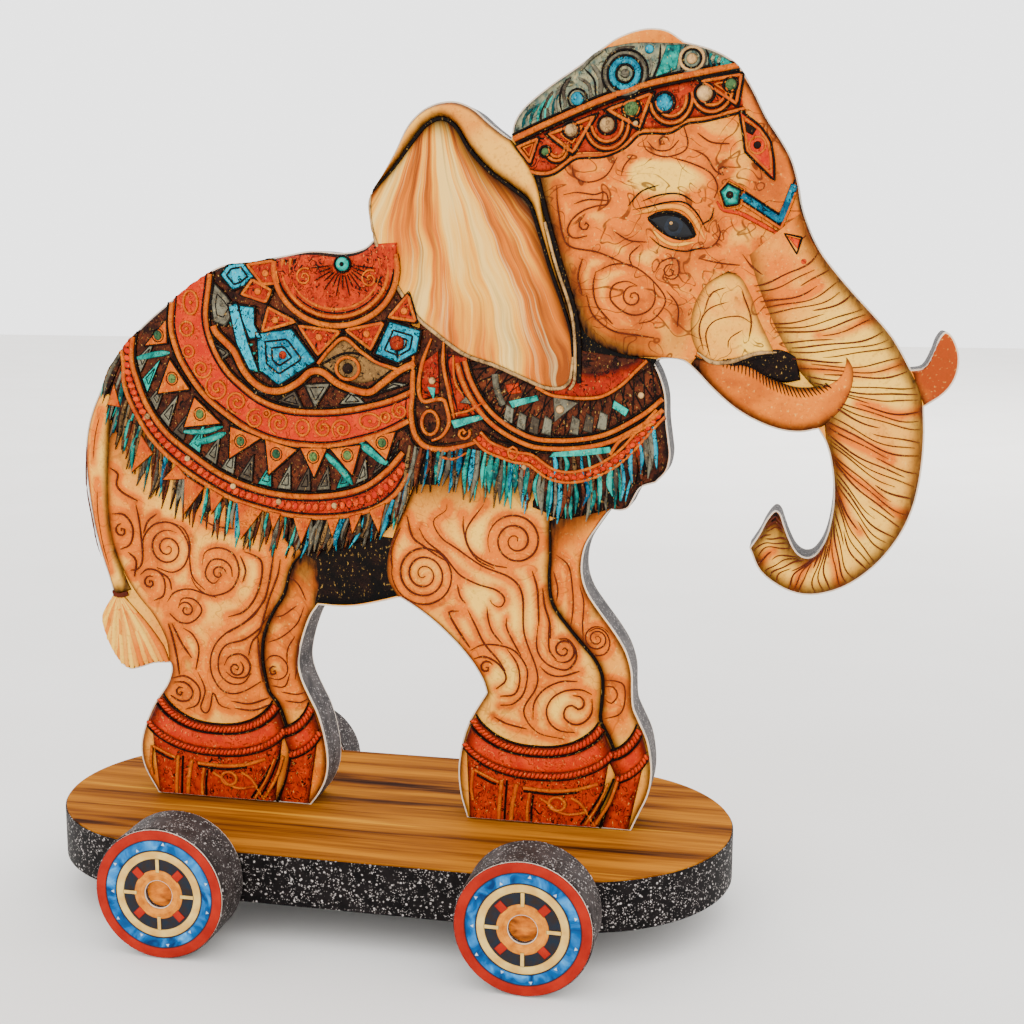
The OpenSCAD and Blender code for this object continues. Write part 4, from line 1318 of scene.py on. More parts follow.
# %% Face scrolls
SHEATH_STROKES = [[(74.5, 114), (73.5, 119), (75.5, 123), (81, 125)],
                  [(76, 112.8), (75, 117.5), (77, 120.5), (82, 121.5), (85, 120)],
                  [(80, 114), (80.2, 116.5), (83, 118.5)], [(74.4, 122), (76, 126.4), (80, 128)],
                  [(84.4, 116), (84.8, 121), (82.6, 127)]]
face_parts = [ribbon(line, 0.4, 0.16, NEAR + 0.26, taper=(0.3, 0.6))
              for line in kept(FACE_STROKES, 1.2)]
relief("face_scrolls", face_parts + strokes(SHEATH_STROKES, 0.36, 0.16, OVER + 0.5), LINE)

# %% [markdown]
# ## Ears
#
# The near ear is a fan. Its inner face is a patch from the dark fold at the top to the lower
# edge, and its streaks follow the fan because the finish reads the patch's own coordinates. A
# rolled rim runs round the top and down the front, and a thin white line, a painted highlight,
# closes the edge.

# %% Ear paint


def ear_lining(name):
    """Rays of cream, orange and brown that fan out from a point above the ear's fold.

    A point's bearing from that centre picks the ray, and its distance only changes it slowly.
    """
    f = Finish(name)
    split = f.node("ShaderNodeSeparateXYZ", {}, {0: f.where})
    x = Value(f, split.outputs[0]) / MM - (12 + DECK_MIDDLE)
    z = Value(f, split.outputs[2]) / MM - (176 + DECK_TOP)
    bearing = x._math("ARCTAN2", x, z * -1)
    reach = (x * x + z * z) ** 0.5
    bend = f.noise(22, 2) * 0.16

    def rays(fineness, pull, detail):
        ray = f.node("ShaderNodeCombineXYZ", {}, {0: (bearing + bend) * fineness, 1: reach * pull, 2: 0.5})
        made = f.node("ShaderNodeTexNoise", {}, {
            "Vector": ray.outputs[0], "Scale": 1.0, "Detail": detail, "Roughness": 0.55})
        return Value(f, made.outputs[0])

    made = f.node("ShaderNodeValToRGB", {"stops": [
        (0.36, shown(186, 90, 32)), (0.45, shown(236, 144, 60)), (0.53, shown(246, 198, 126)),
        (0.62, shown(248, 224, 178)),
    ]}, {0: rays(9, 0.012, 4)})
    colour = f.mix(rays(34, 0.02, 3).above(0.52, 0.7) * 0.55, made.outputs[0], shown(150, 62, 16))
    colour = f.mix(rays(70, 0.03, 3).above(0.56, 0.72) * 0.35, colour, shown(255, 244, 214))
    shade = f.attribute("shade")
    colour = f.mix((1 - shade) * 0.6, colour, shown(150, 66, 20))
    colour = f.mix((1 - shade) ** 2.2, colour, shown(26, 14, 12))
    f.feed("Base Color", colour)
    f.bump(rays(34, 0.02, 3) * 0.8 + f.noise(0.6, 2) * 0.5, 0.5, 0.1)
    return f.material


EAR = ear_lining("ear_lining_paint")
EAR_RIM = skin("ear_rim_paint", cream=(248, 208, 146), orange=(236, 144, 62), line=0.0, cloud=12.0,
               bias=-0.1)

# %% Near ear
ear_edge = curve([(-2.4, 148.4), (-2.5, 143.5), (-1.4, 138), (1.4, 131.5), (6, 124), (9, 120),
                  (12.4, 117.2), (19.5, 112.2), (27, 109.6), (33.7, 106.8), (38.7, 104.8),
                  (42.6, 104.8), (44.6, 106.8), (45.3, 112)])
ear_fold = curve([(-2.2, 149), (3, 154.4), (7.4, 160), (10.8, 163.8), (14.6, 165.3), (18, 163.4),
                  (21.4, 158.2), (26, 153.4), (31, 149.8), (35, 146.4), (37.4, 140), (40, 132),
                  (43, 123.6), (44.8, 117.6), (45.3, 112)])
ear_inner = patch(ear_fold, ear_edge, OVER + 0.1, crown=-0.25, rim_w=1.0,
                  dark={"a": 6.5, "b": 1.0, "1": 2}, deep=0.05, rows=110, cols=40)
relief("near_ear", [ear_inner], EAR)
rim_outer = np.vstack([rim((-1.6, 149.8), (29.6, 160.9)),
                       curve([(30.6, 160), (34.2, 155.4), (36.8, 150), (38, 143.5), (40.4, 133.4),
                              (43.6, 124), (45.3, 118.4), (45.8, 112)])])
ear_roll = patch(rim_outer, ear_fold, OVER + 0.45, crown=0.7, rim_w=1.5, falls="ab01",
                 dark={"b": 2.6, "a": 1.2}, tint=0.62, deep=0.1, rows=150, cols=24,
                 highlights_and_tones=[(28, 156, 8, 5, 0.5), (9, 166, 6, 5, 0.3)])
relief("ear_roll", [ear_roll], EAR_RIM)
# The thin cream lines along the ear's lower and front edges are a painted highlight.
relief("ear_highlight_rim", [ribbon(shifted(ear_edge, 0.1), 1.0, 0.45, OVER, taper=(0.5, 0.8)),
                          ribbon(curve([(38.4, 142), (41, 132.8), (44.4, 123), (45.5, 116),
                                        (45.6, 107), (44.4, 104.6)]), 0.8, 0.4, OVER + 0.3)],
       CREAM)
relief("ear_fold_line", [ribbon(shifted(ear_fold, -0.3), 0.9, 0.2, OVER + 0.3, taper=(0.4, 0.4)),
                         ribbon(curve([(36.6, 152), (38.6, 144), (41.6, 134), (45, 123.6), (46.4, 116),
                                       (46.6, 106)]), 1.2, 0.3, NEAR + 0.3)],
       BLACK)

far_ear_line = rim((49.8, 179.0), (69.2, 180.2))
far_ear_foot = curve([(49, 176), (58, 178), (66, 178), (70, 178.6)])
relief("far_ear", [patch(far_ear_line, far_ear_foot, FAR, rim_w=0.8, crown=0.3, dark={"b": 2.5},
                         tint=0.3, deep=0.3)], EAR_RIM)

# %% [markdown]
# ## Saddle cloth
#
# The cloth hangs over the back in rings: a domed roundel at the spine, a ring of triangles,
# a wavy gold line with blue lozenges, a wide scroll band, a row of gold triangles on olive, a
# beaded band and a fringe. Each ring lies between two curves, so a few curves carry it all.

# %% Curves of the saddle cloth
spine = rim((-66, 112), (-1.9, 138.2))
bead_out = curve([(-66.4, 114), (-65.2, 110), (-65, 103), (-62, 96), (-58, 90), (-52, 84.5), (-45, 80),
                  (-38, 76.5), (-31, 74.5), (-23.5, 73), (-16, 72.7), (-8.5, 73.5), (-2, 75.5), (3, 79),
                  (6.4, 84)])
bead_in = curve([(-62, 118), (-63, 110), (-61.5, 104), (-59, 98), (-54.5, 92), (-48, 87), (-41, 82.5),
                 (-33.5, 79.5), (-26, 78), (-18.5, 77.7), (-11, 78.5), (-4.5, 80.5), (1, 84.5), (5, 89)])
scroll_out = curve([(-51.6, 127), (-52, 123.5), (-52.5, 117.5), (-51, 111.5), (-48, 106), (-44, 101),
                    (-39, 97), (-33.5, 93.5), (-27, 91), (-20, 90), (-13, 90), (-6, 91.5), (0.5, 93.5),
                    (6.5, 96.5)])
scroll_in = curve([(-42, 131), (-42.5, 127.5), (-43.5, 120), (-42, 113.5), (-39, 108), (-35, 104),
                   (-30, 100.5), (-24, 98.5), (-17, 98), (-9.5, 98.5), (-2, 100), (3, 101.5),
                   (7.5, 103.5)])
fringe_low = curve([(-71.6, 101), (-70.6, 94), (-67, 85.5), (-60.5, 76), (-52, 70), (-42, 66),
                    (-30, 63), (-19, 62.4), (-8, 65), (0, 68), (5, 74)])
right_edge = curve([(8, 86), (8.8, 100), (8.4, 112), (6, 122), (1, 131)])

# %% Saddle cloth bands
relief("saddle_ground", [patch(spine, np.vstack([bead_out, right_edge]), NEAR + 0.35, rim_w=1.2,
                               rows=110, cols=50, dark={"a": 1.5}, tint=0.4)], BROWN)
CLOTH = NEAR + 0.35
scroll_band = patch(scroll_out, scroll_in, CLOTH + 0.25, rim_w=0.6, crown=0.15, tint=0.35,
                    dark={"a": 1.2, "b": 1.2}, deep=0.2, rows=110, cols=16)
relief("saddle_scroll_band", [scroll_band], RED)
bead_band = patch(bead_out, bead_in, CLOTH + 0.2, rim_w=0.6, crown=0.2, tint=0.3,
                  dark={"a": 1.0, "b": 1.0}, deep=0.2, rows=110, cols=12)
relief("saddle_bead_band", [bead_band], CARVED)
gold_lines = [ribbon(inside(line), width, 0.5, CLOTH + 0.15) for line, width in (
    (scroll_out, 1.5), (scroll_in, 1.4), (bead_out, 1.3), (bead_in, 1.5))]
black_lines = [ribbon(inside(shifted(line, shift)), 0.5, 0.25, CLOTH + 0.25) for line, shift in (
    (scroll_out, 1.0), (scroll_out, -1.0), (scroll_in, 0.95), (scroll_in, -0.95), (bead_in, 1.0),
    (bead_in, -1.0), (bead_out, 0.9))]
relief("saddle_beads", rope(between(bead_out, bead_in, 0.5), 2.3, 0.35, CLOTH + 0.3, pitch=1.7,
                            slant=1.2), RED)
relief("saddle_pale_beads", [boss(c, 0.8, 0.5, CLOTH + 0.4, sides=10) for c in (
    (-59.3, 96), (-49.2, 86), (-26, 76.2), (-37.6, 79.6), (-12, 75.8))], CREAM)

# %% [markdown]
# The scroll band carries a row of spirals that turn alternately left and right, with a small
# link between them. They get smaller where the band narrows.

# %% Saddle scrolls
scroll_parts = [ribbon(spiral(c, r * 1.15, 1.8, start, hand), 0.7, 0.4, CLOTH + 0.35, taper=(0.5, 1.2))
                for c, r, start, hand in (
    ((-41, 103.2), 2.8, 2.0, 1), ((-36, 100), 2.6, 5.0, -1), ((-31.5, 96), 2.2, 1.0, 1),
    ((-25.5, 95.2), 2.5, 4.4, -1), ((-14.5, 94.2), 2.1, 1.0, 1), ((-9.8, 94.2), 2.3, 4.0, -1),
    ((4.4, 98.8), 1.8, 2.0, 1), ((-44.9, 107.8), 2.2, 0.4, -1))]
for centre, half_x, half_z in (((-47.2, 123.5), 1.8, 2.8), ((-48.4, 117.3), 1.7, 1.7),
                               ((-48.1, 111.9), 1.4, 1.4), ((-19.7, 94.3), 1.7, 1.9),
                               ((-3, 96.2), 2.5, 1.8), ((0.8, 97.2), 1.1, 1.2), ((-28.6, 97.4), 0.9, 0.9)):
    scroll_parts.append(ribbon(oval(centre, half_x, half_z), 0.7, 0.4, CLOTH + 0.35))
    scroll_parts.append(boss(centre, 0.5, 0.35, CLOTH + 0.35, sides=8))
relief("saddle_scrolls", scroll_parts, GOLD)

# %% [markdown]
# Rows of triangles fill two rings. A triangle stands with its base on one curve and its point
# near the other; it is a gold frame with a sunk coloured heart and a stud.

# %% Triangle rows


def triangle_row(base, far, count, start=0.0, end=1.0, reach=0.9, width=0.86):
    """Corners of triangles whose bases lie on one line and whose points reach towards another."""
    step = (end - start) / count
    made = []
    for i in range(count):
        low = start + (i + (1 - width) / 2) * step
        high = start + (i + (1 + width) / 2) * step
        a, m, b = at(base, np.array([low, (low + high) / 2, high]))
        tip = m + (at(far, np.array([(low + high) / 2]))[0] - m) * reach
        made.append(np.array([a, b, tip]))
    return made


def shrunk(corners, share):
    """The same shape drawn in towards its middle."""
    corners = np.array(corners, float)
    middle = corners.mean(axis=0)
    return middle + (corners - middle) * share


def frame_line(corners, share=1.0, width=0.6, height=0.3, level=0.0, count=32):
    """A ribbon round a straight-sided shape, or round a smaller copy of it."""
    shape = shrunk(corners, share)
    return ribbon(np.vstack([shape, shape[:1]]), width, height, level, closed=True, count=count)


frames, studs, leaves_blue, leaves_olive = [], [], [], []
ROW = (
    ([(-53.5, 119.5), (-59.5, 113), (-53.5, 113.7)], (-55.8, 115.6)),
    ([(-53, 110), (-56.5, 101.5), (-48, 102.7)], (-52.5, 105.3)),
    ([(-47, 101), (-50, 93.5), (-40.2, 94.7)], (-45.6, 96.9)),
    ([(-38, 94.2), (-30, 91.5), (-38.5, 86.2)], (-35.4, 90.6)),
    ([(-29.2, 91.2), (-21, 89), (-28.5, 82.5)], (-26.4, 87.8)),
    ([(-20.4, 89.5), (-13.6, 89.5), (-17, 82.2)], (-17.1, 87.4)),
    ([(-13, 89.5), (-5.2, 90.6), (-7.4, 83)], (-8.6, 88)),
    ([(-4.5, 92), (3.4, 94), (1, 87)], (0, 91.2)),
)
for i, (corners, stud) in enumerate(ROW):
    frames.append(tile(corners, 0.5, CLOTH + 0.12, tint=0.35 + 0.1 * (i % 3)))
    black_lines.append(frame_line(corners, 1.04, 0.5, 0.3, CLOTH + 0.3))
    studs.append(boss(stud, 1.25, 0.35, CLOTH + 0.5, oval=0.9, sides=12, tint=(i * 3 % 4) / 3))
    black_lines.append(ribbon(oval(stud, 1.5, 1.6), 0.35, 0.2, CLOTH + 0.5))
for i, corners in enumerate(triangle_row(shifted(bead_in, 1.4), shifted(scroll_out, -1.4), 17, 0.08,
                                         1.0, reach=0.66, width=0.7)):
    target = leaves_blue if i % 4 == 1 else leaves_olive
    target.append(tile(corners, 0.3, CLOTH + 0.06, tint=(i * 5 % 7) / 6))
    black_lines.append(frame_line(corners, 1.0, 0.45, 0.25, CLOTH + 0.1, 24))
    black_lines.append(frame_line(corners, 0.5, 0.35, 0.2, CLOTH + 0.25, 18))
leaves_blue += [ribbon(curve(p), w, 0.4, CLOTH + 0.2, taper=(0.6, 0.3), tint=0.6) for p, w in (
    ([(-61.5, 110), (-57, 111), (-53, 111.5)], 1.6), ([(-50, 92.5), (-45, 92.6), (-40, 94)], 1.4),
    ([(-48, 90), (-44, 90.6), (-39.2, 92.5)], 1.8), ([(-14, 88), (-10.4, 84.6), (-7.5, 81)], 1.8),
    ([(-5.5, 91), (-2, 88.4), (1.5, 86)], 2.4))]
relief("saddle_triangles", frames, GOLD)
relief("saddle_triangle_studs", studs, GREEN)
relief("saddle_blue_leaves", leaves_blue, TEAL)
relief("saddle_grey_leaves", leaves_olive, GREY)

# %% Roundel
ROUNDEL = (-11.0, 131.6)


def under_spine(line, room=0.6):
    """Keep only the part of a line that lies at least room below the back's silhouette."""
    order = np.argsort(SILHOUETTE[:, 0])
    back = SILHOUETTE[order]
    back = back[(back[:, 1] > 125) & (back[:, 0] < -1)]
    top = np.interp(line[:, 0], back[:, 0], back[:, 1])
    return line[line[:, 1] < top - room]


roundel_low = under_spine(oval(ROUNDEL, 15.2, 13.0, math.pi - 0.2, 2 * math.pi + 0.2))
across = np.linspace(roundel_low[0, 0], roundel_low[-1, 0], 60)
roundel_top = np.stack([across, np.interp(across, spine[:, 0], spine[:, 1])], 1)
relief("roundel_ground", [patch(roundel_top, roundel_low, CLOTH + 0.2, crown=0.7, rim_w=2.5,
                                tint=0.45, dark={"b": 3.0}, deep=0.3, falls="ab", rows=60,
                                cols=30)], CARVED)
for half_x, half_z, width in ((15.0, 13.2, 1.6), (12.9, 11.2, 1.1), (11.0, 9.4, 0.9)):
    line = under_spine(oval(ROUNDEL, half_x, half_z, math.pi - 0.25, 2 * math.pi + 0.25))
    gold_lines.append(ribbon(line, width, 0.5, CLOTH + 0.4))
    black_lines.append(ribbon(shifted(line, 0.9), 0.5, 0.25, CLOTH + 0.5))
stud_at = (-9.0, 132.6)
relief("roundel_stud", [boss(stud_at, 1.7, 0.8, CLOTH + 0.8, sides=20, tint=0.8)], TEAL)
black_lines += [boss(stud_at, 0.6, 0.4, CLOTH + 1.4, sides=10), ribbon(
    oval(stud_at, 2.0, 2.0), 0.45, 0.4, CLOTH + 0.9)]
gold_lines += [ribbon(spiral(c, 2.2, 1.7, 1.0), 0.6, 0.35, CLOTH + 0.8)
               for c in ((-2.5, 129.2), (-18.4, 129.6))]
for i in range(15):
    angle = math.pi * (1.04 + 0.92 * i / 14)
    out = np.array([math.cos(angle) * 9.0, math.sin(angle) * 8.4])
    black_lines.append(ribbon(curve([np.array(stud_at) + out * (0.9 - 0.2 * (i % 2)),
                                     np.array(stud_at) + out * 0.6, np.array(stud_at) + out * 0.3]),
                              0.3, 0.15, CLOTH + 1.0, taper=(0.2, 0.2)))

# %% [markdown]
# Round the roundel stand red triangles, and between them and the scroll band lie two turquoise
# lozenges, a leaf-shaped eye and a wavy gold line.

# %% Triangles, lozenges and the wave
collar_red, collar_hearts, blue_tiles, pale_tiles = [], [], [], []
for corners in (
    [(-34.5, 125.5), (-31.5, 129.2), (-26.5, 126.5), (-28, 123.5)],
    [(-27.7, 122.7), (-29.5, 116.7), (-20.5, 119.2)], [(-20.5, 118.5), (-9.5, 117.2), (-15.5, 111.2)],
    [(-9, 117.5), (1, 119.5), (-2.5, 112.7)], [(1.6, 120.4), (6.6, 126.0), (8.6, 119.4)],
    [(-33, 132.6), (-26, 133.6), (-24.4, 128), (-29, 127.6)],
):
    collar_red.append(tile(corners, 0.4, CLOTH + 0.15, tint=0.3))
    gold_lines.append(frame_line(corners, 0.9, 0.9, 0.4, CLOTH + 0.4))
    black_lines.append(frame_line(corners, 1.1, 0.55, 0.3, CLOTH + 0.3))
    collar_hearts.append(boss(np.mean(corners, axis=0), 0.9, 0.3, CLOTH + 0.5, sides=10))
relief("saddle_red_triangles", collar_red, CARVED)
relief("saddle_red_hearts", collar_hearts, GOLD)
for i, (corners, rings) in enumerate((
    ([(-30.7, 116.4), (-22, 117.5), (-16.2, 110), (-25.5, 104.2), (-30.4, 108)], 2),
    ([(2, 119.5), (9.5, 117.5), (8.5, 112.5), (4, 110), (-1.5, 112)], 2),
    ([(-39.4, 130), (-37.5, 132.4), (-33.5, 133), (-31, 129.7), (-33.5, 127.5), (-36.5, 126.5)], 1),
    ([(-35, 123), (-31, 122.5), (-31.2, 118.5), (-29.5, 115.5), (-32.5, 115), (-34.4, 120)], 0),
    ([(-37.6, 123), (-35.4, 123.4), (-32.8, 114), (-30.4, 107.4), (-32.6, 107.6), (-35.8, 114)], 0),
)):
    blue_tiles.append(tile(corners, 0.4, CLOTH + 0.15, tint=0.55 + 0.1 * i))
    black_lines.append(frame_line(corners, 1.04, 0.6, 0.35, CLOTH + 0.3, 40))
    for share in (0.62, 0.34)[:rings]:
        black_lines.append(frame_line(corners, share, 0.6, 0.25, CLOTH + 0.45))
relief("saddle_lozenges", blue_tiles, BLUE)
relief("lozenge_hearts", [boss((-24.2, 111.4), 1.0, 0.4, CLOTH + 0.55),
                          boss((3.8, 114.6), 1.8, 0.5, CLOTH + 0.55)], BRICK)
pale = (([(-41, 128), (-38, 125), (-36, 122), (-38.5, 118), (-41.5, 119), (-42, 123.5)], 0.3),
        ([(-26, 100.5), (-21.5, 103), (-19.5, 99)], 0.9), ([(-19, 104.5), (-12.5, 105), (-16.5, 99)], 0.5),
        ([(-10.5, 100), (-7.5, 103.4), (-4, 100.4)], 0.1), ([(-2, 102.4), (3, 105.5), (6.5, 105)], 0.2),
        ([(-32, 102), (-27.4, 102), (-30, 104)], 0.4), ([(-41.6, 114), (-39.4, 110), (-37.4, 111.6)], 0.6))
for corners, tone in pale:
    pale_tiles.append(tile(corners, 0.35, CLOTH + 0.12, tint=tone))
    black_lines += [frame_line(corners, share, 0.45, 0.3, CLOTH + 0.25, 24) for share in (1.05, 0.55)]
relief("saddle_tan_shapes", pale_tiles, GREY)
teal_leaves = [ribbon(curve([(-37.5 + i * 1.1, 119 - i * 2.1), (-36 + i * 1.1, 117.4 - i * 2.0),
                             (-33.6 + i * 0.9, 117.6 - i * 1.9)]), 0.9, 0.35, CLOTH + 0.2,
                      taper=(0.3, 0.3), tint=0.3 + 0.1 * i) for i in range(6)]
relief("saddle_leaf_strips", teal_leaves, TEAL)

wave = curve([(-41.6, 118), (-41, 116.5), (-39, 114.5), (-36.5, 112), (-34.5, 108), (-32, 105),
              (-28.5, 103), (-24.5, 103), (-20.5, 105), (-17.5, 107.5), (-14.5, 107.5), (-11, 105),
              (-7, 103.5), (-3, 103), (0, 105), (4, 108), (8, 110)])
leaf_top = curve([(-15.5, 109.5), (-12.5, 113), (-9, 115.5), (-5, 112.5), (-1, 110), (4.5, 108.2)])
leaf_low = curve([(-15.5, 109.5), (-12.2, 107), (-6.6, 104.8), (-1.6, 105.4), (1.8, 106.6), (4.5, 108.2)])
eye_top = curve([(-14.5, 109.5), (-9, 112), (-4, 111.5), (2, 109)])
relief("saddle_leaf", [patch(leaf_top, leaf_low, CLOTH + 0.2, crown=0.15, rim_w=0.8, tint=0.9,
                             dark={"a": 1.2, "b": 1.2}, deep=0.2)], OLIVE)
gold_lines += [ribbon(wave, 1.9, 0.55, CLOTH + 0.25), ribbon(leaf_top, 1.0, 0.5, CLOTH + 0.35),
               ribbon(oval((-8.2, 108.5), 2.8, 2.6), 0.9, 0.5, CLOTH + 0.5)]
black_lines += [ribbon(shifted(wave, 1.2), 0.5, 0.25, CLOTH + 0.3), ribbon(
    shifted(wave, -1.2), 0.5, 0.25, CLOTH + 0.3), ribbon(eye_top, 0.6, 0.3, CLOTH + 0.45),
    ribbon(shifted(leaf_top, 0.9), 0.5, 0.3, CLOTH + 0.3)]
relief("leaf_stud", [boss((-8.2, 108.5), 1.3, 0.5, CLOTH + 0.55)], DARK_GROUND_AND_SHADOW)
relief("saddle_gold_lines", gold_lines, GOLD)
relief("saddle_dark_lines", black_lines, BLACK)

# %% [markdown]
# ## Fringe
#
# Tassels hang from the beaded band. A tassel is a slim leaf made as a ribbon that swells and
# comes to a point; length, lean and colour vary by a fixed-seed random generator, so every run
# gives the same fringe. Small gold triangles hang between the tassels.

# %% Tassels
random = np.random.default_rng(7)


def tassels(top, foot, count, level, width=1.5, layers=2, shares=(0.16, 0.24, 0.26, 0.08, 0.26)):
    """Tapered leaves from one line towards another, sorted into colour groups."""
    groups = {"teal": [], "grey": [], "olive": [], "blue": [], "brown": []}
    names = list(groups)
    for layer in range(layers):
        for i in range(count):
            s = (i + 0.5 + 0.4 * random.uniform(-1, 1)) / count
            reach = random.uniform(0.55, 0.95) if layer else random.uniform(0.8, 1.04)
            root = at(top, np.array([s]))[0]
            tip = root + (at(foot, np.array([np.clip(s + random.normal(0, 0.008), 0, 1)]))[0]
                          - root) * reach
            bend = random.normal(0, 0.5, 2)
            line = curve([root, (root + tip) / 2 + bend, tip])
            size = width * random.uniform(0.6, 1.25)
            swell = np.interp(np.linspace(0, 1, 9), [0, 0.55, 1], [0.55, 1.0, 0.12]) * size
            pick = names[random.choice(5, p=shares)]
            groups[pick].append(ribbon(line, swell, 0.35, level + 0.28 * layer, count=9,
                                       tint=random.uniform(0, 1)))
    return groups


TASSEL_FINISH = {"teal": TEAL, "grey": GREY, "olive": OLIVE, "blue": BLUE, "brown": BROWN}
relief("saddle_fringe_shadow", [patch(shifted(bead_out, 0.6), shifted(fringe_low, 1.2), NEAR + 0.1,
                                      rim_w=2.0, tint=0.3, rows=90, cols=10)], DARK_GROUND_AND_SHADOW)
fringe = tassels(shifted(bead_out, -0.6), fringe_low, 74, NEAR + 0.3, width=1.35)
hanging = [tile(corners, 0.5, NEAR + 0.75, tint=0.4) for corners in (
    [(-67.6, 104), (-66.2, 98), (-69.6, 98.6)], [(-61, 91.5), (-58, 87), (-64, 82)],
    [(-52, 84.5), (-56, 80.5), (-49, 81)], [(-50, 82), (-45, 79), (-50.6, 72)],
    [(-43.6, 79), (-40, 77), (-43.4, 72.4)], [(-36.5, 75.9), (-30, 74), (-36, 66.5)],
    [(-28.6, 74), (-25.4, 73.4), (-27.6, 69)], [(-22.4, 72.8), (-17.6, 72.6), (-20.5, 66)],
    [(-14, 72.6), (-10.6, 73), (-12.6, 68)], [(-8.4, 73.4), (-5, 74.4), (-7.6, 69)],
    [(-3.5, 75), (0.8, 77), (-1, 69.6)])]
relief("saddle_hanging_triangles", hanging, GOLD)

# %% [markdown]
# ## Collar
#
# A broad collar crosses the chest below the ear: a painted shadow on the neck under the jaw, a
# netted band between two gold arcs, a red scalloped ribbon and a fringe. On its left a red panel
# carries a paisley scroll.

# %% Collar ground and arcs
collar_right = rim((63.6, 111), (54.6, 77.1))
# Under the jaw a dark sheet stands for painted shadow.
neck_top = curve([(40, 124), (47, 119), (52, 114.6), (58, 112.6), (64.5, 111.8)])
neck_low = curve([(36, 104), (45, 102.4), (54, 103.4), (61, 107), (64.2, 110.4)])
relief("neck_shadow", [patch(neck_top, neck_low, FAR, tint=0.1, dark={"a": 2})], DARK_GROUND_AND_SHADOW)
collar_left = curve([(9, 119), (7.6, 108), (6.8, 98), (7.4, 90), (6, 82)])
relief("collar_ground", [patch(collar_left, collar_right, NEAR + 0.15, rim_w=1.0, rows=60, cols=40,
                               tint=0.35, dark={"b": 1.5})], BROWN)
COLLAR = NEAR + 0.35
arc_up = curve([(19.9, 110.7), (21.2, 106.6), (23.7, 102), (27, 98.2), (31.2, 95.3), (36.2, 93.2),
                (41.2, 92.8), (47, 93.2), (52.8, 94.5), (57.8, 97), (62.4, 100), (66, 103.2)])
arc_low = shifted(arc_up, -1.9)
gold_thin = curve([(36.6, 105), (40.3, 103.2), (43.7, 102.8), (47.8, 102.6), (52, 103.2),
                   (56.2, 105.7), (59.5, 109), (62, 111.4)])
net_top = curve([(24, 111), (31, 108.4), (37, 105), (44, 102.8), (52, 103.2), (58, 107.4), (63, 110.6)])
relief("collar_net_band", [patch(arc_up, net_top, COLLAR, rim_w=0.7, crown=0.2, tint=0.5,
                                 dark={"a": 2.0, "b": 2.0, "0": 4}, deep=0.2, rows=70, cols=16)], BROWN)
relief("neck_shadow_red_band", [patch(gold_thin, curve([(46, 109), (50, 108.6), (55, 110), (60, 112)]),
                               COLLAR - 0.1, rim_w=0.6, tint=0.2, dark={"b": 3}, deep=0.1)], CARVED)
net_lines = []
for i in range(17):
    s = 0.04 + 0.92 * i / 16
    for lean in (-0.05, 0.05):
        a = at(arc_up, np.array([s]))[0]
        b = at(net_top, np.array([np.clip(s + lean, 0, 1)]))[0]
        net_lines.append(ribbon(np.array([a, (a + b) / 2, b]), 0.4, 0.25, COLLAR + 0.15,
                                taper=(0.5, 0.5), count=10))
relief("collar_net", net_lines, BLACK)
collar_gold = [ribbon(inside(arc), 1.3, 0.6, COLLAR + 0.15) for arc in (arc_up, arc_low)]
collar_gold.append(ribbon(gold_thin, 0.9, 0.4, COLLAR + 0.1))
collar_dark = [ribbon(inside(shifted(arc_up, shift)), 0.55, 0.3, COLLAR + 0.25)
               for shift in (-0.95, 0.95, -2.9)]
relief("collar_studs", [boss(c, r, 0.5, COLLAR + 0.3, sides=12) for c, r in (
    ((42.3, 100), 1.0), ((60.8, 103.6), 0.8), ((12.2, 106), 0.9), ((34, 86.4), 0.7))], CREAM)
relief("collar_grey_plates", [tile([(x, 94.2 + b), (x + 2.2, 93.6 + b), (x + 2.6, 97.4 + b),
                                    (x + 0.8, 98.4 + b)], 0.35, COLLAR + 0.15, tint=(i % 3) / 2)
                              for i, (x, b) in enumerate(((29, 2.6), (32, 1.0), (35, 0.3), (38, 0.2),
                                                          (44.4, 0.4), (47.6, 1.0), (50.8, 1.6)))]
       + [ribbon(curve([(27, 107.8), (27.6, 104), (29, 100.7)]), 1.8, 0.4, COLLAR + 0.15),
          tile([(40.7, 103), (46.6, 101.6), (41, 97)], 0.3, COLLAR + 0.12),
          tile([(18.7, 101), (20.3, 102.6), (21.8, 100.7)], 0.4, COLLAR + 0.4)], GREY)
relief("collar_blue_chips", [tile(c, 0.4, COLLAR + 0.2, bevel=0.12, tint=0.7) for c in (
    [(30.3, 101.6), (37, 103.2), (37.4, 102), (31.2, 100.1)],
    [(54.7, 102.4), (58.2, 100.3), (57.4, 98.7), (54.3, 100.7)],
    [(39.9, 89), (40.7, 90.1), (49.9, 91.2), (54, 91.8), (54.5, 90.5), (47.8, 89.5)],
    [(16.6, 96.8), (24.5, 98.6), (24.5, 97.4), (17.4, 95)], [(24.9, 97.4), (27.8, 95.6), (31.2, 92.8)],
    [(11, 104.6), (13, 104.4), (12.6, 101.4)])], TEAL)

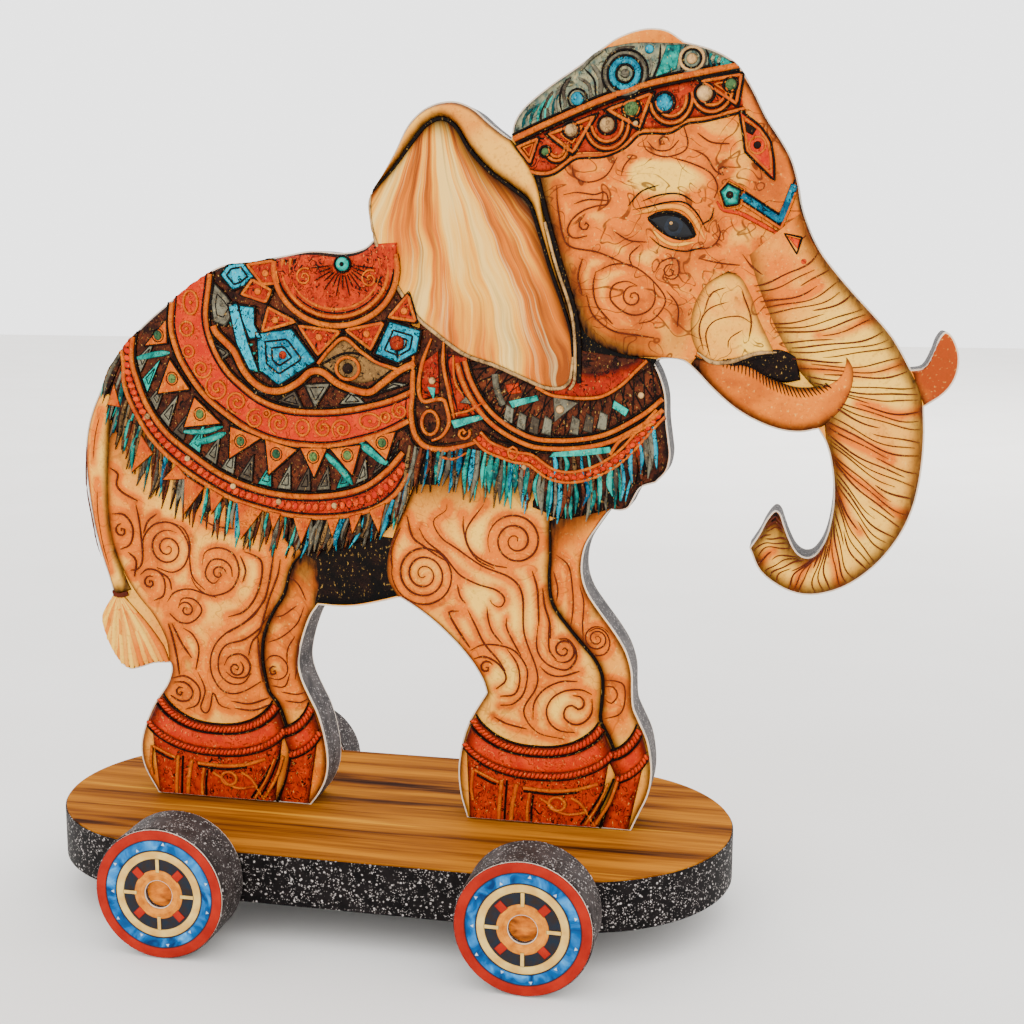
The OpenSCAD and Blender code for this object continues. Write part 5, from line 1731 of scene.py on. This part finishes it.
# %% Collar ribbon and paisley
swag = curve([(22.8, 93.4), (25.3, 91), (28.7, 89.6), (32, 88.6), (35.3, 88.2), (37.4, 86.8),
              (40.3, 85), (44.4, 84.3), (49, 85.2), (53.6, 87.4), (57.6, 90.6), (61.4, 95),
              (65.4, 99.6)])
relief("collar_swag", [patch(shifted(swag, 1.9), shifted(swag, -1.7), COLLAR + 0.1, crown=0.35,
                             rim_w=1.0, dark={"a": 0.8, "b": 0.8}, tint=0.6, deep=0.3, rows=90,
                             cols=10)], CARVED)
collar_gold += [ribbon(shifted(swag, 1.3), 0.8, 0.35, COLLAR + 0.35),
                ribbon(shifted(swag, -1.1), 0.8, 0.35, COLLAR + 0.35),
                ribbon(oval((31.4, 89.7), 1.1, 1.4), 0.7, 0.4, COLLAR + 0.4),
                ribbon(curve([(54, 90), (56.2, 93.2), (59.9, 95.3), (63.7, 97.4)]), 1.0, 0.4, COLLAR + 0.3)]
relief("collar_swag_beads", rope(swag, 1.3, 0.3, COLLAR + 0.4, pitch=1.7, slant=1.2), RED)
red_panel = [tile(c, 0.35, COLLAR, tint=tone) for c, tone in (
    ([(15.3, 112.4), (20.4, 111.6), (22, 104.5), (24.9, 98.7), (17.8, 97.4), (16.2, 104.5)], 0.3),
    ([(9.6, 110), (13.6, 113), (13.9, 103), (9.6, 101.4)], 0.1),
    ([(55, 88.4), (58.6, 92), (63.4, 96.6), (61, 90), (57, 86.6)], 0.4),
    ([(31.2, 86.4), (32.8, 87.6), (36.2, 86.8), (34.9, 84.5), (32, 82.2)], 0.8),
    ([(29.4, 105.4), (32.6, 106), (33.4, 103.6), (30.2, 103)], 0.6))]
relief("collar_red_panels", red_panel, CARVED)
collar_gold += [ribbon(curve(p), w, 0.5, COLLAR + 0.2, taper=(0.5, 0.6)) for p, w in (
    ([(7.6, 112), (7.4, 103.2), (7, 98.7), (7.8, 93.7), (10.3, 90.7), (14.5, 90), (18.7, 90.7),
      (22.8, 92)], 1.5),
    ([(12, 115.7), (9.9, 110.3), (8.9, 104.5), (9.9, 101.2), (12.8, 101.6), (14.9, 101.6), (15.7, 99.5),
      (16.2, 96.2), (14.5, 93.2), (12, 92)], 1.1),
    ([(14.9, 115), (14.9, 109.5), (16.2, 103.2), (17.4, 97.4)], 1.0),
    ([(17.4, 98.4), (20.8, 99.2), (24, 101)], 0.8), ([(17.2, 112), (17.6, 106), (19.6, 102.6)], 0.7),
    ([(13, 88.6), (17, 87.8), (20.4, 89.4)], 0.8))]
collar_gold += [ribbon(oval((11.6, 96.2), 2.0, 2.8), 0.9, 0.45, COLLAR + 0.25),
                ribbon(spiral((19.6, 94.0), 1.7, 1.4, 0.5, -1), 0.8, 0.4, COLLAR + 0.25)]
collar_dark += [ribbon(curve(p), 0.5, 0.25, COLLAR + 0.25, taper=(0.4, 0.4)) for p in (
    [(8.6, 110), (8.2, 103), (8, 98.6), (8.8, 94.2), (11, 92), (14.6, 91.3), (19, 92)],
    [(15.8, 113), (16, 109), (17.2, 103), (18.4, 98.4)], [(21.2, 110), (22.4, 106), (25, 101.6)],
    [(6, 104), (5.8, 97), (6.8, 92.6), (9.4, 89.4), (14.5, 88.6), (19.6, 89.4)],
    [(24, 94.8), (28, 92.4), (33, 91.2), (38, 88.4)])]
relief("collar_gold_lines", collar_gold, GOLD)
relief("collar_dark_lines", collar_dark, BLACK)

fringe_top = curve([(5.6, 91), (12, 90), (20, 90.4), (26, 89.4), (32, 87.4), (38, 85.4), (44, 83.6),
                    (50, 84.8), (55, 87.6), (60, 92.4), (64, 97)])
fringe_foot = curve([(3.6, 80), (10, 79.6), (18, 78.6), (25, 77.2), (31, 76), (37, 74.6),
                     (43, 73.4), (49, 74.6), (54.6, 76.4), (59.4, 80.6), (65.2, 86)])
COLLAR_SHARES = (0.34, 0.2, 0.16, 0.14, 0.16)
relief("collar_fringe_shadow", [patch(fringe_top, shifted(fringe_foot, 1.0), NEAR + 0.2, rim_w=1.5,
                                      tint=0.2, rows=70, cols=10)], DARK_GROUND_AND_SHADOW)
for name, parts in tassels(fringe_top, fringe_foot, 44, NEAR + 0.4, 1.7, 2, COLLAR_SHARES).items():
    fringe[name] += parts
teal_bar = curve([(40, 89.8), (46, 89.6), (54, 91)])
for name, parts in tassels(teal_bar, curve([(40, 84.6), (47, 84.4), (55, 88)]), 9, NEAR + 0.6, 1.2, 1,
                           COLLAR_SHARES).items():
    fringe[name] += parts
for name, parts in fringe.items():
    relief(f"tassels_{name}", parts, TASSEL_FINISH[name])

# %% [markdown]
# ## Cap
#
# The cap sits above a beaded brim: turquoise and olive shapes above, and below the brim a red
# band of triangles and half rounds set with pale discs.

# %% Cap
brim = curve([(31.2, 160.2), (40, 164), (50, 168), (60, 171.2), (70, 173.2), (80.6, 175.0)])
cap_line = np.vstack([rim((31.0, 161.5), (50.2, 179.2)), curve([(51.5, 179.6), (58, 180.6),
                                                               (67.6, 180.2)]),
                      rim((69.4, 180.2), (81.4, 174.3))])
CAP = NEAR + 0.3
relief("cap_ground", [patch(brim, cap_line, CAP, rim_w=1.0, crown=0.3, tint=0.5, rows=70, cols=20,
                            dark={"b": 1.2, "a": 1.5, "0": 4}, deep=0.3)], CAP_GROUND)
band_low = curve([(31.6, 155.4), (35.5, 153), (40, 153), (44.5, 156), (47, 156.5), (51.5, 156.7),
                  (56, 158.5), (59, 161.2), (62, 161.6), (66, 161.6), (69.5, 163.5), (73.5, 164),
                  (78, 165), (82, 166)])
relief("cap_band", [patch(band_low, shifted(brim, -0.8), CAP, rim_w=0.8, crown=0.15, tint=0.4,
                          rows=90, cols=14, dark={"a": 1.4, "b": 1.6, "0": 5}, deep=0.1)], CARVED)
cap_gold = [ribbon(brim, 1.6, 0.6, CAP + 0.15), ribbon(band_low, 0.9, 0.4, CAP)]
cap_dark = [ribbon(shifted(brim, shift), 0.6, 0.3, CAP + 0.2) for shift in (1.05, -1.05)]
cap_dark.append(ribbon(shifted(band_low, -0.6), 0.6, 0.25, CAP - 0.1))
for corners in ([(38.5, 161.2), (50, 165.4), (44.7, 156.6)], [(51.5, 166.2), (62.5, 170), (59.5, 161.8)],
                [(72, 172), (81.6, 173.4), (80.6, 166.4)], [(31.8, 158.6), (37, 160.6), (35, 154.6)]):
    cap_gold += [frame_line(corners, 0.86, 0.9, 0.4, CAP + 0.25),
                 frame_line(corners, 0.42, 0.5, 0.3, CAP + 0.25)]
    cap_dark.append(frame_line(corners, 1.05, 0.6, 0.35, CAP + 0.25))
for x, z, radius in ((52.2, 163.4, 4.8), (66.2, 168.4, 4.6), (75, 170.4, 4.4), (41, 158.4, 2.6)):
    for share in (1.0, 0.72):
        arc = oval((x, z), radius * share, radius * 1.15 * share, math.pi * 1.05, math.pi * 2.05)
        cap_gold.append(ribbon(arc, 0.8, 0.35, CAP + 0.25))
        cap_dark.append(ribbon(shifted(arc, -0.65), 0.4, 0.25, CAP + 0.25))
DISCS = [((44.2, 162), 1.5, 1), ((52.2, 163), 1.7, 1), ((57.5, 166.4), 1.7, 3), ((64.7, 167.5), 1.9, 2),
         ((73.4, 169.3), 1.8, 1), ((79, 171), 1.3, 3), ((58.5, 163.2), 0.6, 1), ((38.4, 157.4), 0.9, 3)]
disc_parts = {1: [], 2: [], 3: []}
for centre, radius, colour in DISCS:
    disc_parts[colour].append(boss(centre, radius, 0.45, CAP + 0.35, sides=18))
    cap_dark.append(ribbon(oval(centre, radius + 0.4, radius + 0.4), 0.6, 0.35, CAP + 0.3))
relief("cap_green_discs", disc_parts[3], GREEN)
relief("cap_pale_discs", disc_parts[1], CREAM)
big = (56.0, 173.8)
relief("cap_blue_discs", disc_parts[2] + [boss((45.5, 168.7), 1.5, 0.5, CAP + 0.3, sides=16),
                                          boss((61.2, 178.8), 1.0, 0.4, CAP + 0.3, sides=12),
                                          ribbon(oval(big, 2.9, 2.9), 1.7, 0.5, CAP + 0.25)], BLUE)
relief("cap_big_heart", [boss(big, 1.0, 0.5, CAP + 0.3, sides=18),
                         ribbon(oval(big, 4.4, 4.4), 0.9, 0.4, CAP + 0.2)], GREY)
cap_dark += [ribbon(oval(centre, r, r), 0.55, 0.35, CAP + 0.3) for centre, r in (
    (big, 5.1), (big, 3.8), (big, 1.9), ((70.5, 176.6), 2.0), ((45.5, 168.7), 2.1))]
relief("cap_grey_ring", [ribbon(oval((70.5, 176.6), 2.6, 2.4), 0.9, 0.4, CAP + 0.2),
                         boss((70.5, 176.6), 1.2, 0.4, CAP + 0.3)], CREAM)
cap_blue = [tile([(62.6, 172.8), (67.2, 174.4), (68.2, 179.6), (65, 179.6)], 0.35, CAP + 0.2, tint=0.4),
            tile([(81.0, 174.4), (77.6, 176.6), (76.2, 175.6), (79, 173.9)], 0.3, CAP + 0.2)]
cap_blue += [ribbon(curve([(33.2 + i * 1.7, 162.6 + i * 0.7), (33.8 + i * 1.6, 165 + i * 0.6),
                           (35.4 + i * 1.5, 166.8 + i * 0.9)]), 0.9, 0.35, CAP + 0.2, taper=(0.5, 0.5),
                    tint=0.3 * (i % 4)) for i in range(5)]
cap_blue += [ribbon(curve([(74.6 + i * 1.3, 177.6 - i * 0.5), (74.2 + i * 1.3, 176.2 - i * 0.4),
                           (74.8 + i * 1.2, 174.9)]), 0.8, 0.3, CAP + 0.2, tint=0.3 * i) for i in range(3)]
relief("cap_blue_stripes", cap_blue, TEAL)
cap_pale = [ribbon(curve(p), w, 0.35, CAP + 0.2, taper=(0.5, 0.4), tint=tone) for p, w, tone in (
    ([(39, 164.4), (38.6, 167.6), (40, 170.4)], 1.1, 0.9),
    ([(41, 165.4), (40.6, 168.4), (42, 172)], 0.8, 0.5),
    ([(43, 167), (42.4, 170.6), (44, 173.4)], 1.0, 0.8),
    ([(48.6, 168.6), (48, 171.6), (45.6, 173.2)], 0.9, 0.6),
    ([(50.6, 169.4), (50.6, 173), (48.6, 176)], 1.4, 0.4),
    ([(51.6, 176.4), (54, 178.8), (58, 179.4)], 0.9, 0.9),
    ([(60.6, 172.4), (61.8, 175.4), (60.8, 177.4)], 0.8, 0.2),
    ([(72.6, 174.4), (73.4, 176.6), (72.4, 178.4)], 0.9, 0.9),
    ([(68.6, 173.9), (71, 173.9), (73.6, 174.2)], 0.8, 0.6),
    ([(35, 161.8), (37, 162.6), (38, 163.4)], 0.6, 1.0),
    ([(46, 174.6), (48.6, 177.4), (51, 178.8)], 0.9, 0.3))]
relief("cap_pale_leaves", cap_pale, GREY)
cap_dark += strokes([[(42, 166), (41.6, 169.4), (43, 173)], [(49.6, 169), (49.2, 172.6), (47, 175)],
                     [(61.8, 172.2), (63.4, 176), (63.6, 179.8)], [(68, 173.6), (68.6, 176.6), (69, 179.6)],
                     [(37.4, 163.6), (37.4, 166), (38.8, 168.8)], [(74, 174), (74.2, 176.4), (73.4, 178.6)]],
                    0.55, 0.3, CAP + 0.2)

# %% [markdown]
# The forehead wears a red lozenge with a dark eye, a square turquoise gem, and a turquoise
# chevron on an orange ground that ends in a dark drop.

# %% Forehead jewels
lozenge = [(81, 165.4), (82, 160.5), (82.5, 157), (85, 154.5), (88.7, 151), (88.5, 155), (87.7, 159),
           (85.5, 162)]
relief("forehead_red", [tile(lozenge, 0.4, NEAR + 0.3, tint=0.4), tile(
    [(91.8, 139), (94.4, 136), (94.8, 138.2)], 0.4, NEAR + 0.3), boss((95.7, 133.4), 0.7, 0.3, NEAR + 0.3)]
    + [ribbon(curve([(76.6, 146.4), (78, 144.6), (81.6, 143.8), (85.6, 141.8), (90, 139.4)]), 1.1, 0.4,
              NEAR + 0.3, taper=(0.4, 0.7))], RED)
chevron_line = np.array([(82.0, 147.6), (86.4, 144.8), (90.4, 142.2), (91.8, 145.8), (93.2, 149.8)])
relief("forehead_chevron", [ribbon(chevron_line, 1.7, 0.5, NEAR + 0.35, count=40, tint=0.3)], BLUE)
gem = [(77.4, 148.4), (79.0, 150.0), (81.6, 148.6), (81.2, 145.8), (78.6, 145.4)]
relief("forehead_gem", [tile(gem, 0.6, NEAR + 0.4, bevel=0.5, tint=0.6)], TEAL)
cap_gold += [ribbon(chevron_line + (0.2, -1.7), 0.8, 0.35, NEAR + 0.35, count=40),
             frame_line([(77, 148.6), (79, 151), (82.6, 149), (81.8, 145), (78.2, 144.4)],
                        1, 0.6, 0.35, NEAR + 0.35),
             frame_line(lozenge, 0.84, 0.7, 0.35, NEAR + 0.5),
             ribbon(oval((85, 158.2), 1.8, 1.8), 0.6, 0.35, NEAR + 0.55)]
cap_dark += [frame_line(lozenge, 1.05, 0.6, 0.35, NEAR + 0.35),
             ribbon(chevron_line + (0.1, 1.1), 0.45, 0.3, NEAR + 0.4, count=40),
             ribbon(chevron_line + (0, -1.05), 0.45, 0.3, NEAR + 0.4, count=40),
             frame_line(gem, 1.06, 0.5, 0.35, NEAR + 0.45),
             frame_line([(91.4, 139.4), (94.2, 135), (95.2, 138.6)], 1.0, 0.5, 0.3, NEAR + 0.35)]
relief("forehead_drops", [boss((85.0, 158.2), 0.9, 0.5, NEAR + 0.5),
                          tile([(82, 163.4), (84.8, 161.6), (84, 160.2), (82.4, 161)], 0.4, NEAR + 0.5,
                               bevel=0.2), boss((79.4, 147.7), 0.9, 0.4, NEAR + 0.85)], DARK_GROUND_AND_SHADOW)
relief("cap_gold_lines", cap_gold, GOLD)
relief("cap_dark_lines", cap_dark, BLACK)
print("relief pieces:", len(PIECES))

# %% [markdown]
# ## Wheel faces
#
# Each wheel carries the same painted rings on both sides: a red rim, a blue watercolour ring
# with small white triangles, a cream ring, a dark ring with eight spokes, and a gold hub round
# the dowel's end. Rings are flat-topped ribbons laid on the CAD sheets, and they roll with
# their own axle.

# %% Wheel paints


def watercolour(name):
    """Blue washed unevenly, pale where the water pooled."""
    f = Finish(name)
    wash = f.noise(5, 5, warp=1.0)
    made = f.node("ShaderNodeValToRGB", {"stops": [
        (0.34, shown(12, 66, 138)), (0.46, shown(30, 112, 186)), (0.58, shown(86, 158, 214)),
        (0.72, shown(156, 200, 232)),
    ]}, {0: wash})
    colour = f.mix(1 - f.attribute("shade"), made.outputs[0], shown(14, 26, 44))
    f.feed("Base Color", colour)
    f.bump(f.noise(0.5, 2), 0.4, 0.04)
    return f.material


def lacquer(name, main, second, cloud=5):
    """Even glossy colour, slightly clouded, as on turned toys."""
    f = Finish(name, roughness=0.45, coat=0.04)
    colour = f.mix(f.noise(cloud, 3).above(0.35, 0.65), shown(*main), shown(*second))
    colour = f.mix(1 - f.attribute("shade"), colour, shown(40, 16, 12))
    f.feed("Base Color", colour)
    f.bump(f.noise(0.6, 2), 0.4, 0.04)
    return f.material


WHEEL_RED = lacquer("wheel_red", (206, 34, 18), (224, 52, 26))
WHEEL_BLUE = watercolour("wheel_blue")
WHEEL_CREAM = lacquer("wheel_cream", (240, 222, 180), (226, 196, 146), cloud=3)
WHEEL_DARK = lacquer("wheel_dark", (40, 56, 76), (70, 52, 44), cloud=2)
WHEEL_GOLD = lacquer("wheel_gold", (214, 132, 56), (240, 178, 104), cloud=2)
WHEEL_WHITE = lacquer("wheel_white", (236, 240, 244), (200, 214, 228), cloud=2)


# %% Wheel rings


def flat_ring(centre, inner, outer, height, sides=72, shade_w=0.35):
    """A flat ring with bevelled edges: five circles, from the inner foot to the outer foot."""
    angle = np.linspace(0, 2 * math.pi, sides, endpoint=False)
    bevel = min(0.18, (outer - inner) / 5)
    radii = np.array([inner, inner, inner + bevel, outer - bevel, outer, outer])
    rises = np.array([-SUNK, height * 0.5, height, height, height * 0.5, -SUNK])
    dim = np.array([0, 0, 1, 1, 0, 0]) * shade_w + (1 - shade_w)
    x = centre[0] + radii[None] * np.cos(angle)[:, None]
    z = centre[1] + radii[None] * np.sin(angle)[:, None]
    points = np.stack([x, z, np.broadcast_to(rises[None], x.shape)], -1).reshape(-1, 3)
    index = np.arange(sides * 6).reshape(sides, 6)
    index = np.vstack([index, index[:1]])
    index = np.hstack([index, index[:, :1]])
    uv = np.stack(np.broadcast_arrays(angle[:, None] / 6.3, np.linspace(0, 1, 6)[None]), -1)
    return part(points, quads(index), uv.reshape(-1, 2), np.tile(dim, sides), 0.5)


def spoke(centre, angle, inner, outer, half, height, level=0.1):
    """A bar along a radius."""
    way = np.array([math.cos(angle), math.sin(angle)])
    side = np.array([-way[1], way[0]])
    c = np.array(centre)
    return tile([c + way * inner + side * half, c + way * outer + side * half,
                 c + way * outer - side * half, c + way * inner - side * half],
                height, level, bevel=0.12)


def wheel_face_parts(centre, radius, bore):
    """All rings of one wheel face, by colour, as shares of the printed sheet's radius."""
    def ring(inner, outer, height):
        return flat_ring(centre, inner * radius, outer * radius, height)

    stars = []
    for i in range(11):
        a = i * 2 * math.pi / 11 + 0.3
        c = np.array(centre) + radius * (0.76 + 0.035 * (-1) ** i) * np.array([math.cos(a),
                                                                             math.sin(a)])
        size = radius * 0.035
        stars.append(tile([c + size * np.array([math.cos(a + k), math.sin(a + k)])
                           for k in (0, 2.1, 4.2)], 0.1, 0.12, bevel=0.08))
    quarter = math.pi / 4
    return {
        "red": [ring(0.85, 0.998, 0.16)]
        + [spoke(centre, quarter * (2 * k + 1), 0.36 * radius, 0.52 * radius, 0.065 * radius, 0.1)
           for k in range(4)],
        "blue": [ring(0.69, 0.835, 0.14)],
        "white": stars,
        "cream": [ring(0.555, 0.67, 0.16)]
        + [spoke(centre, quarter * 2 * k, 0.34 * radius, 0.56 * radius, 0.028 * radius, 0.16)
           for k in range(4)],
        "dark": [ring(0.3, 1.0, 0.05)],
        "gold": [ring(bore / radius, 0.38, 0.16), ring(0.28, 0.32, 0.24)],
    }


WHEEL_FINISH = {"red": WHEEL_RED, "blue": WHEEL_BLUE, "white": WHEEL_WHITE, "cream": WHEEL_CREAM,
                "dark": WHEEL_DARK, "gold": WHEEL_GOLD}
axle_low, axle_high = (np.array(c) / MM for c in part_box("front_axle"))
BORE = (axle_high[2] - axle_low[2]) / 2
for end in ("front", "rear"):
    for hand in ("right", "left"):
        for face in ("outer", "inner"):
            low, high = (np.array(c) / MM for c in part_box(f"{end}_{hand}_wheel_{face}_print"))
            centre = (low + high) / 2
            radius = (high[0] - low[0]) / 2
            away = (1 if hand == "left" else -1) * (1 if face == "outer" else -1)
            plane = high[1] if away > 0 else low[1]

            def place(drawn, c=centre, y=plane, way=away):
                """Lay a flat drawing on one wheel face, its third number facing away."""
                return np.stack([(c[0] + drawn[:, 0]) * MM, (y + way * drawn[:, 2]) * MM,
                                 (c[2] + drawn[:, 1]) * MM], axis=1)

            for colour, parts in wheel_face_parts((0, 0), radius, BORE + 0.15).items():
                name = f"{end}_{hand}_wheel_{face}_{colour}"
                mesh = mesh_from(name, parts, place)
                add_object(name, mesh, WHEEL_FINISH[colour], f"{end}_wheelset")
print("wheel faces:", 8, "axle radius", round(BORE, 2), "mm")

# %% [markdown]
# ## Floor, light and camera
#
# A large pale floor lies under a white world, so its far edge hardly shows. Three big soft
# lamps light the object as in a studio.

# %% Stage
GROUND_Z = cad_box[0][2]


def flat_sheet(name, corners, finish):
    """A single flat face as a stage object."""
    mesh = bpy.data.meshes.new(name)
    mesh.from_pydata(corners, [], [(0, 1, 2, 3)])
    mesh.materials.append(finish)
    sheet = bpy.data.objects.new(name, mesh)
    bpy.context.scene.collection.objects.link(sheet)
    return sheet


def floor_finish(name):
    """Nearly white, matt, with the slightest cloud."""
    f = Finish(name, roughness=0.85, specular=0.1)
    f.feed("Base Color", f.mix(f.noise(80, 2), shown(244, 243, 241), shown(249, 248, 247)))
    return f.material


FLOOR_HALF = 3.0
WORLD_STRENGTH = 2.9
floor = flat_sheet("floor", [(x * FLOOR_HALF, y * FLOOR_HALF, GROUND_Z)
                             for x, y in ((-1, -1), (1, -1), (1, 1), (-1, 1))],
                   floor_finish("floor_matt"))

world = bpy.data.worlds.new("studio")
world.use_nodes = True
world.node_tree.nodes["Background"].inputs[0].default_value = (1, 1, 1, 1)
world.node_tree.nodes["Background"].inputs[1].default_value = WORLD_STRENGTH
bpy.context.scene.world = world


def soft_lamp(name, place, target, size, power):
    """A square area lamp that faces a target."""
    light = bpy.data.lights.new(name, "AREA")
    light.size, light.energy = size, power
    lamp = bpy.data.objects.new(name, light)
    way = np.array(target) - np.array(place)
    way = way / np.linalg.norm(way)
    lamp.location = place
    lamp.rotation_euler = (math.acos(-way[2]), 0, math.atan2(way[0], -way[1]))
    bpy.context.scene.collection.objects.link(lamp)
    return lamp


AIM = (0.0, 0.0, 0.1)
soft_lamp("key_lamp", (-0.5, -0.9, 0.8), AIM, 0.7, 32)
soft_lamp("fill_lamp", (0.9, -0.6, 0.5), AIM, 0.8, 15)
soft_lamp("back_lamp", (0.2, 0.9, 0.9), AIM, 0.8, 18)

# %% [markdown]
# The camera stands in front and a little to the right, close enough for strong perspective.
# Its turn, tilt and distance are in degrees and millimetres.

# %% Camera
CAMERA_TURN = math.radians(11.8)
CAMERA_TILT = math.radians(9.25)
CAMERA_ROLL = math.radians(-0.25)
CAMERA_PLACE = (99.1, -332.3, 130.1)
LENS_MM = 51.0

camera_data = bpy.data.cameras.new("camera")
camera_data.lens = LENS_MM
camera_data.sensor_width = 36
camera = bpy.data.objects.new("camera", camera_data)
camera.location = (
    (CAMERA_PLACE[0] + DECK_MIDDLE) * MM,
    CAMERA_PLACE[1] * MM,
    (CAMERA_PLACE[2] + DECK_TOP) * MM,
)
camera.rotation_euler = (math.pi / 2 - CAMERA_TILT, CAMERA_ROLL, CAMERA_TURN)
bpy.context.scene.collection.objects.link(camera)
bpy.context.scene.camera = camera
print("camera at", tuple(round(v, 3) for v in camera.location))
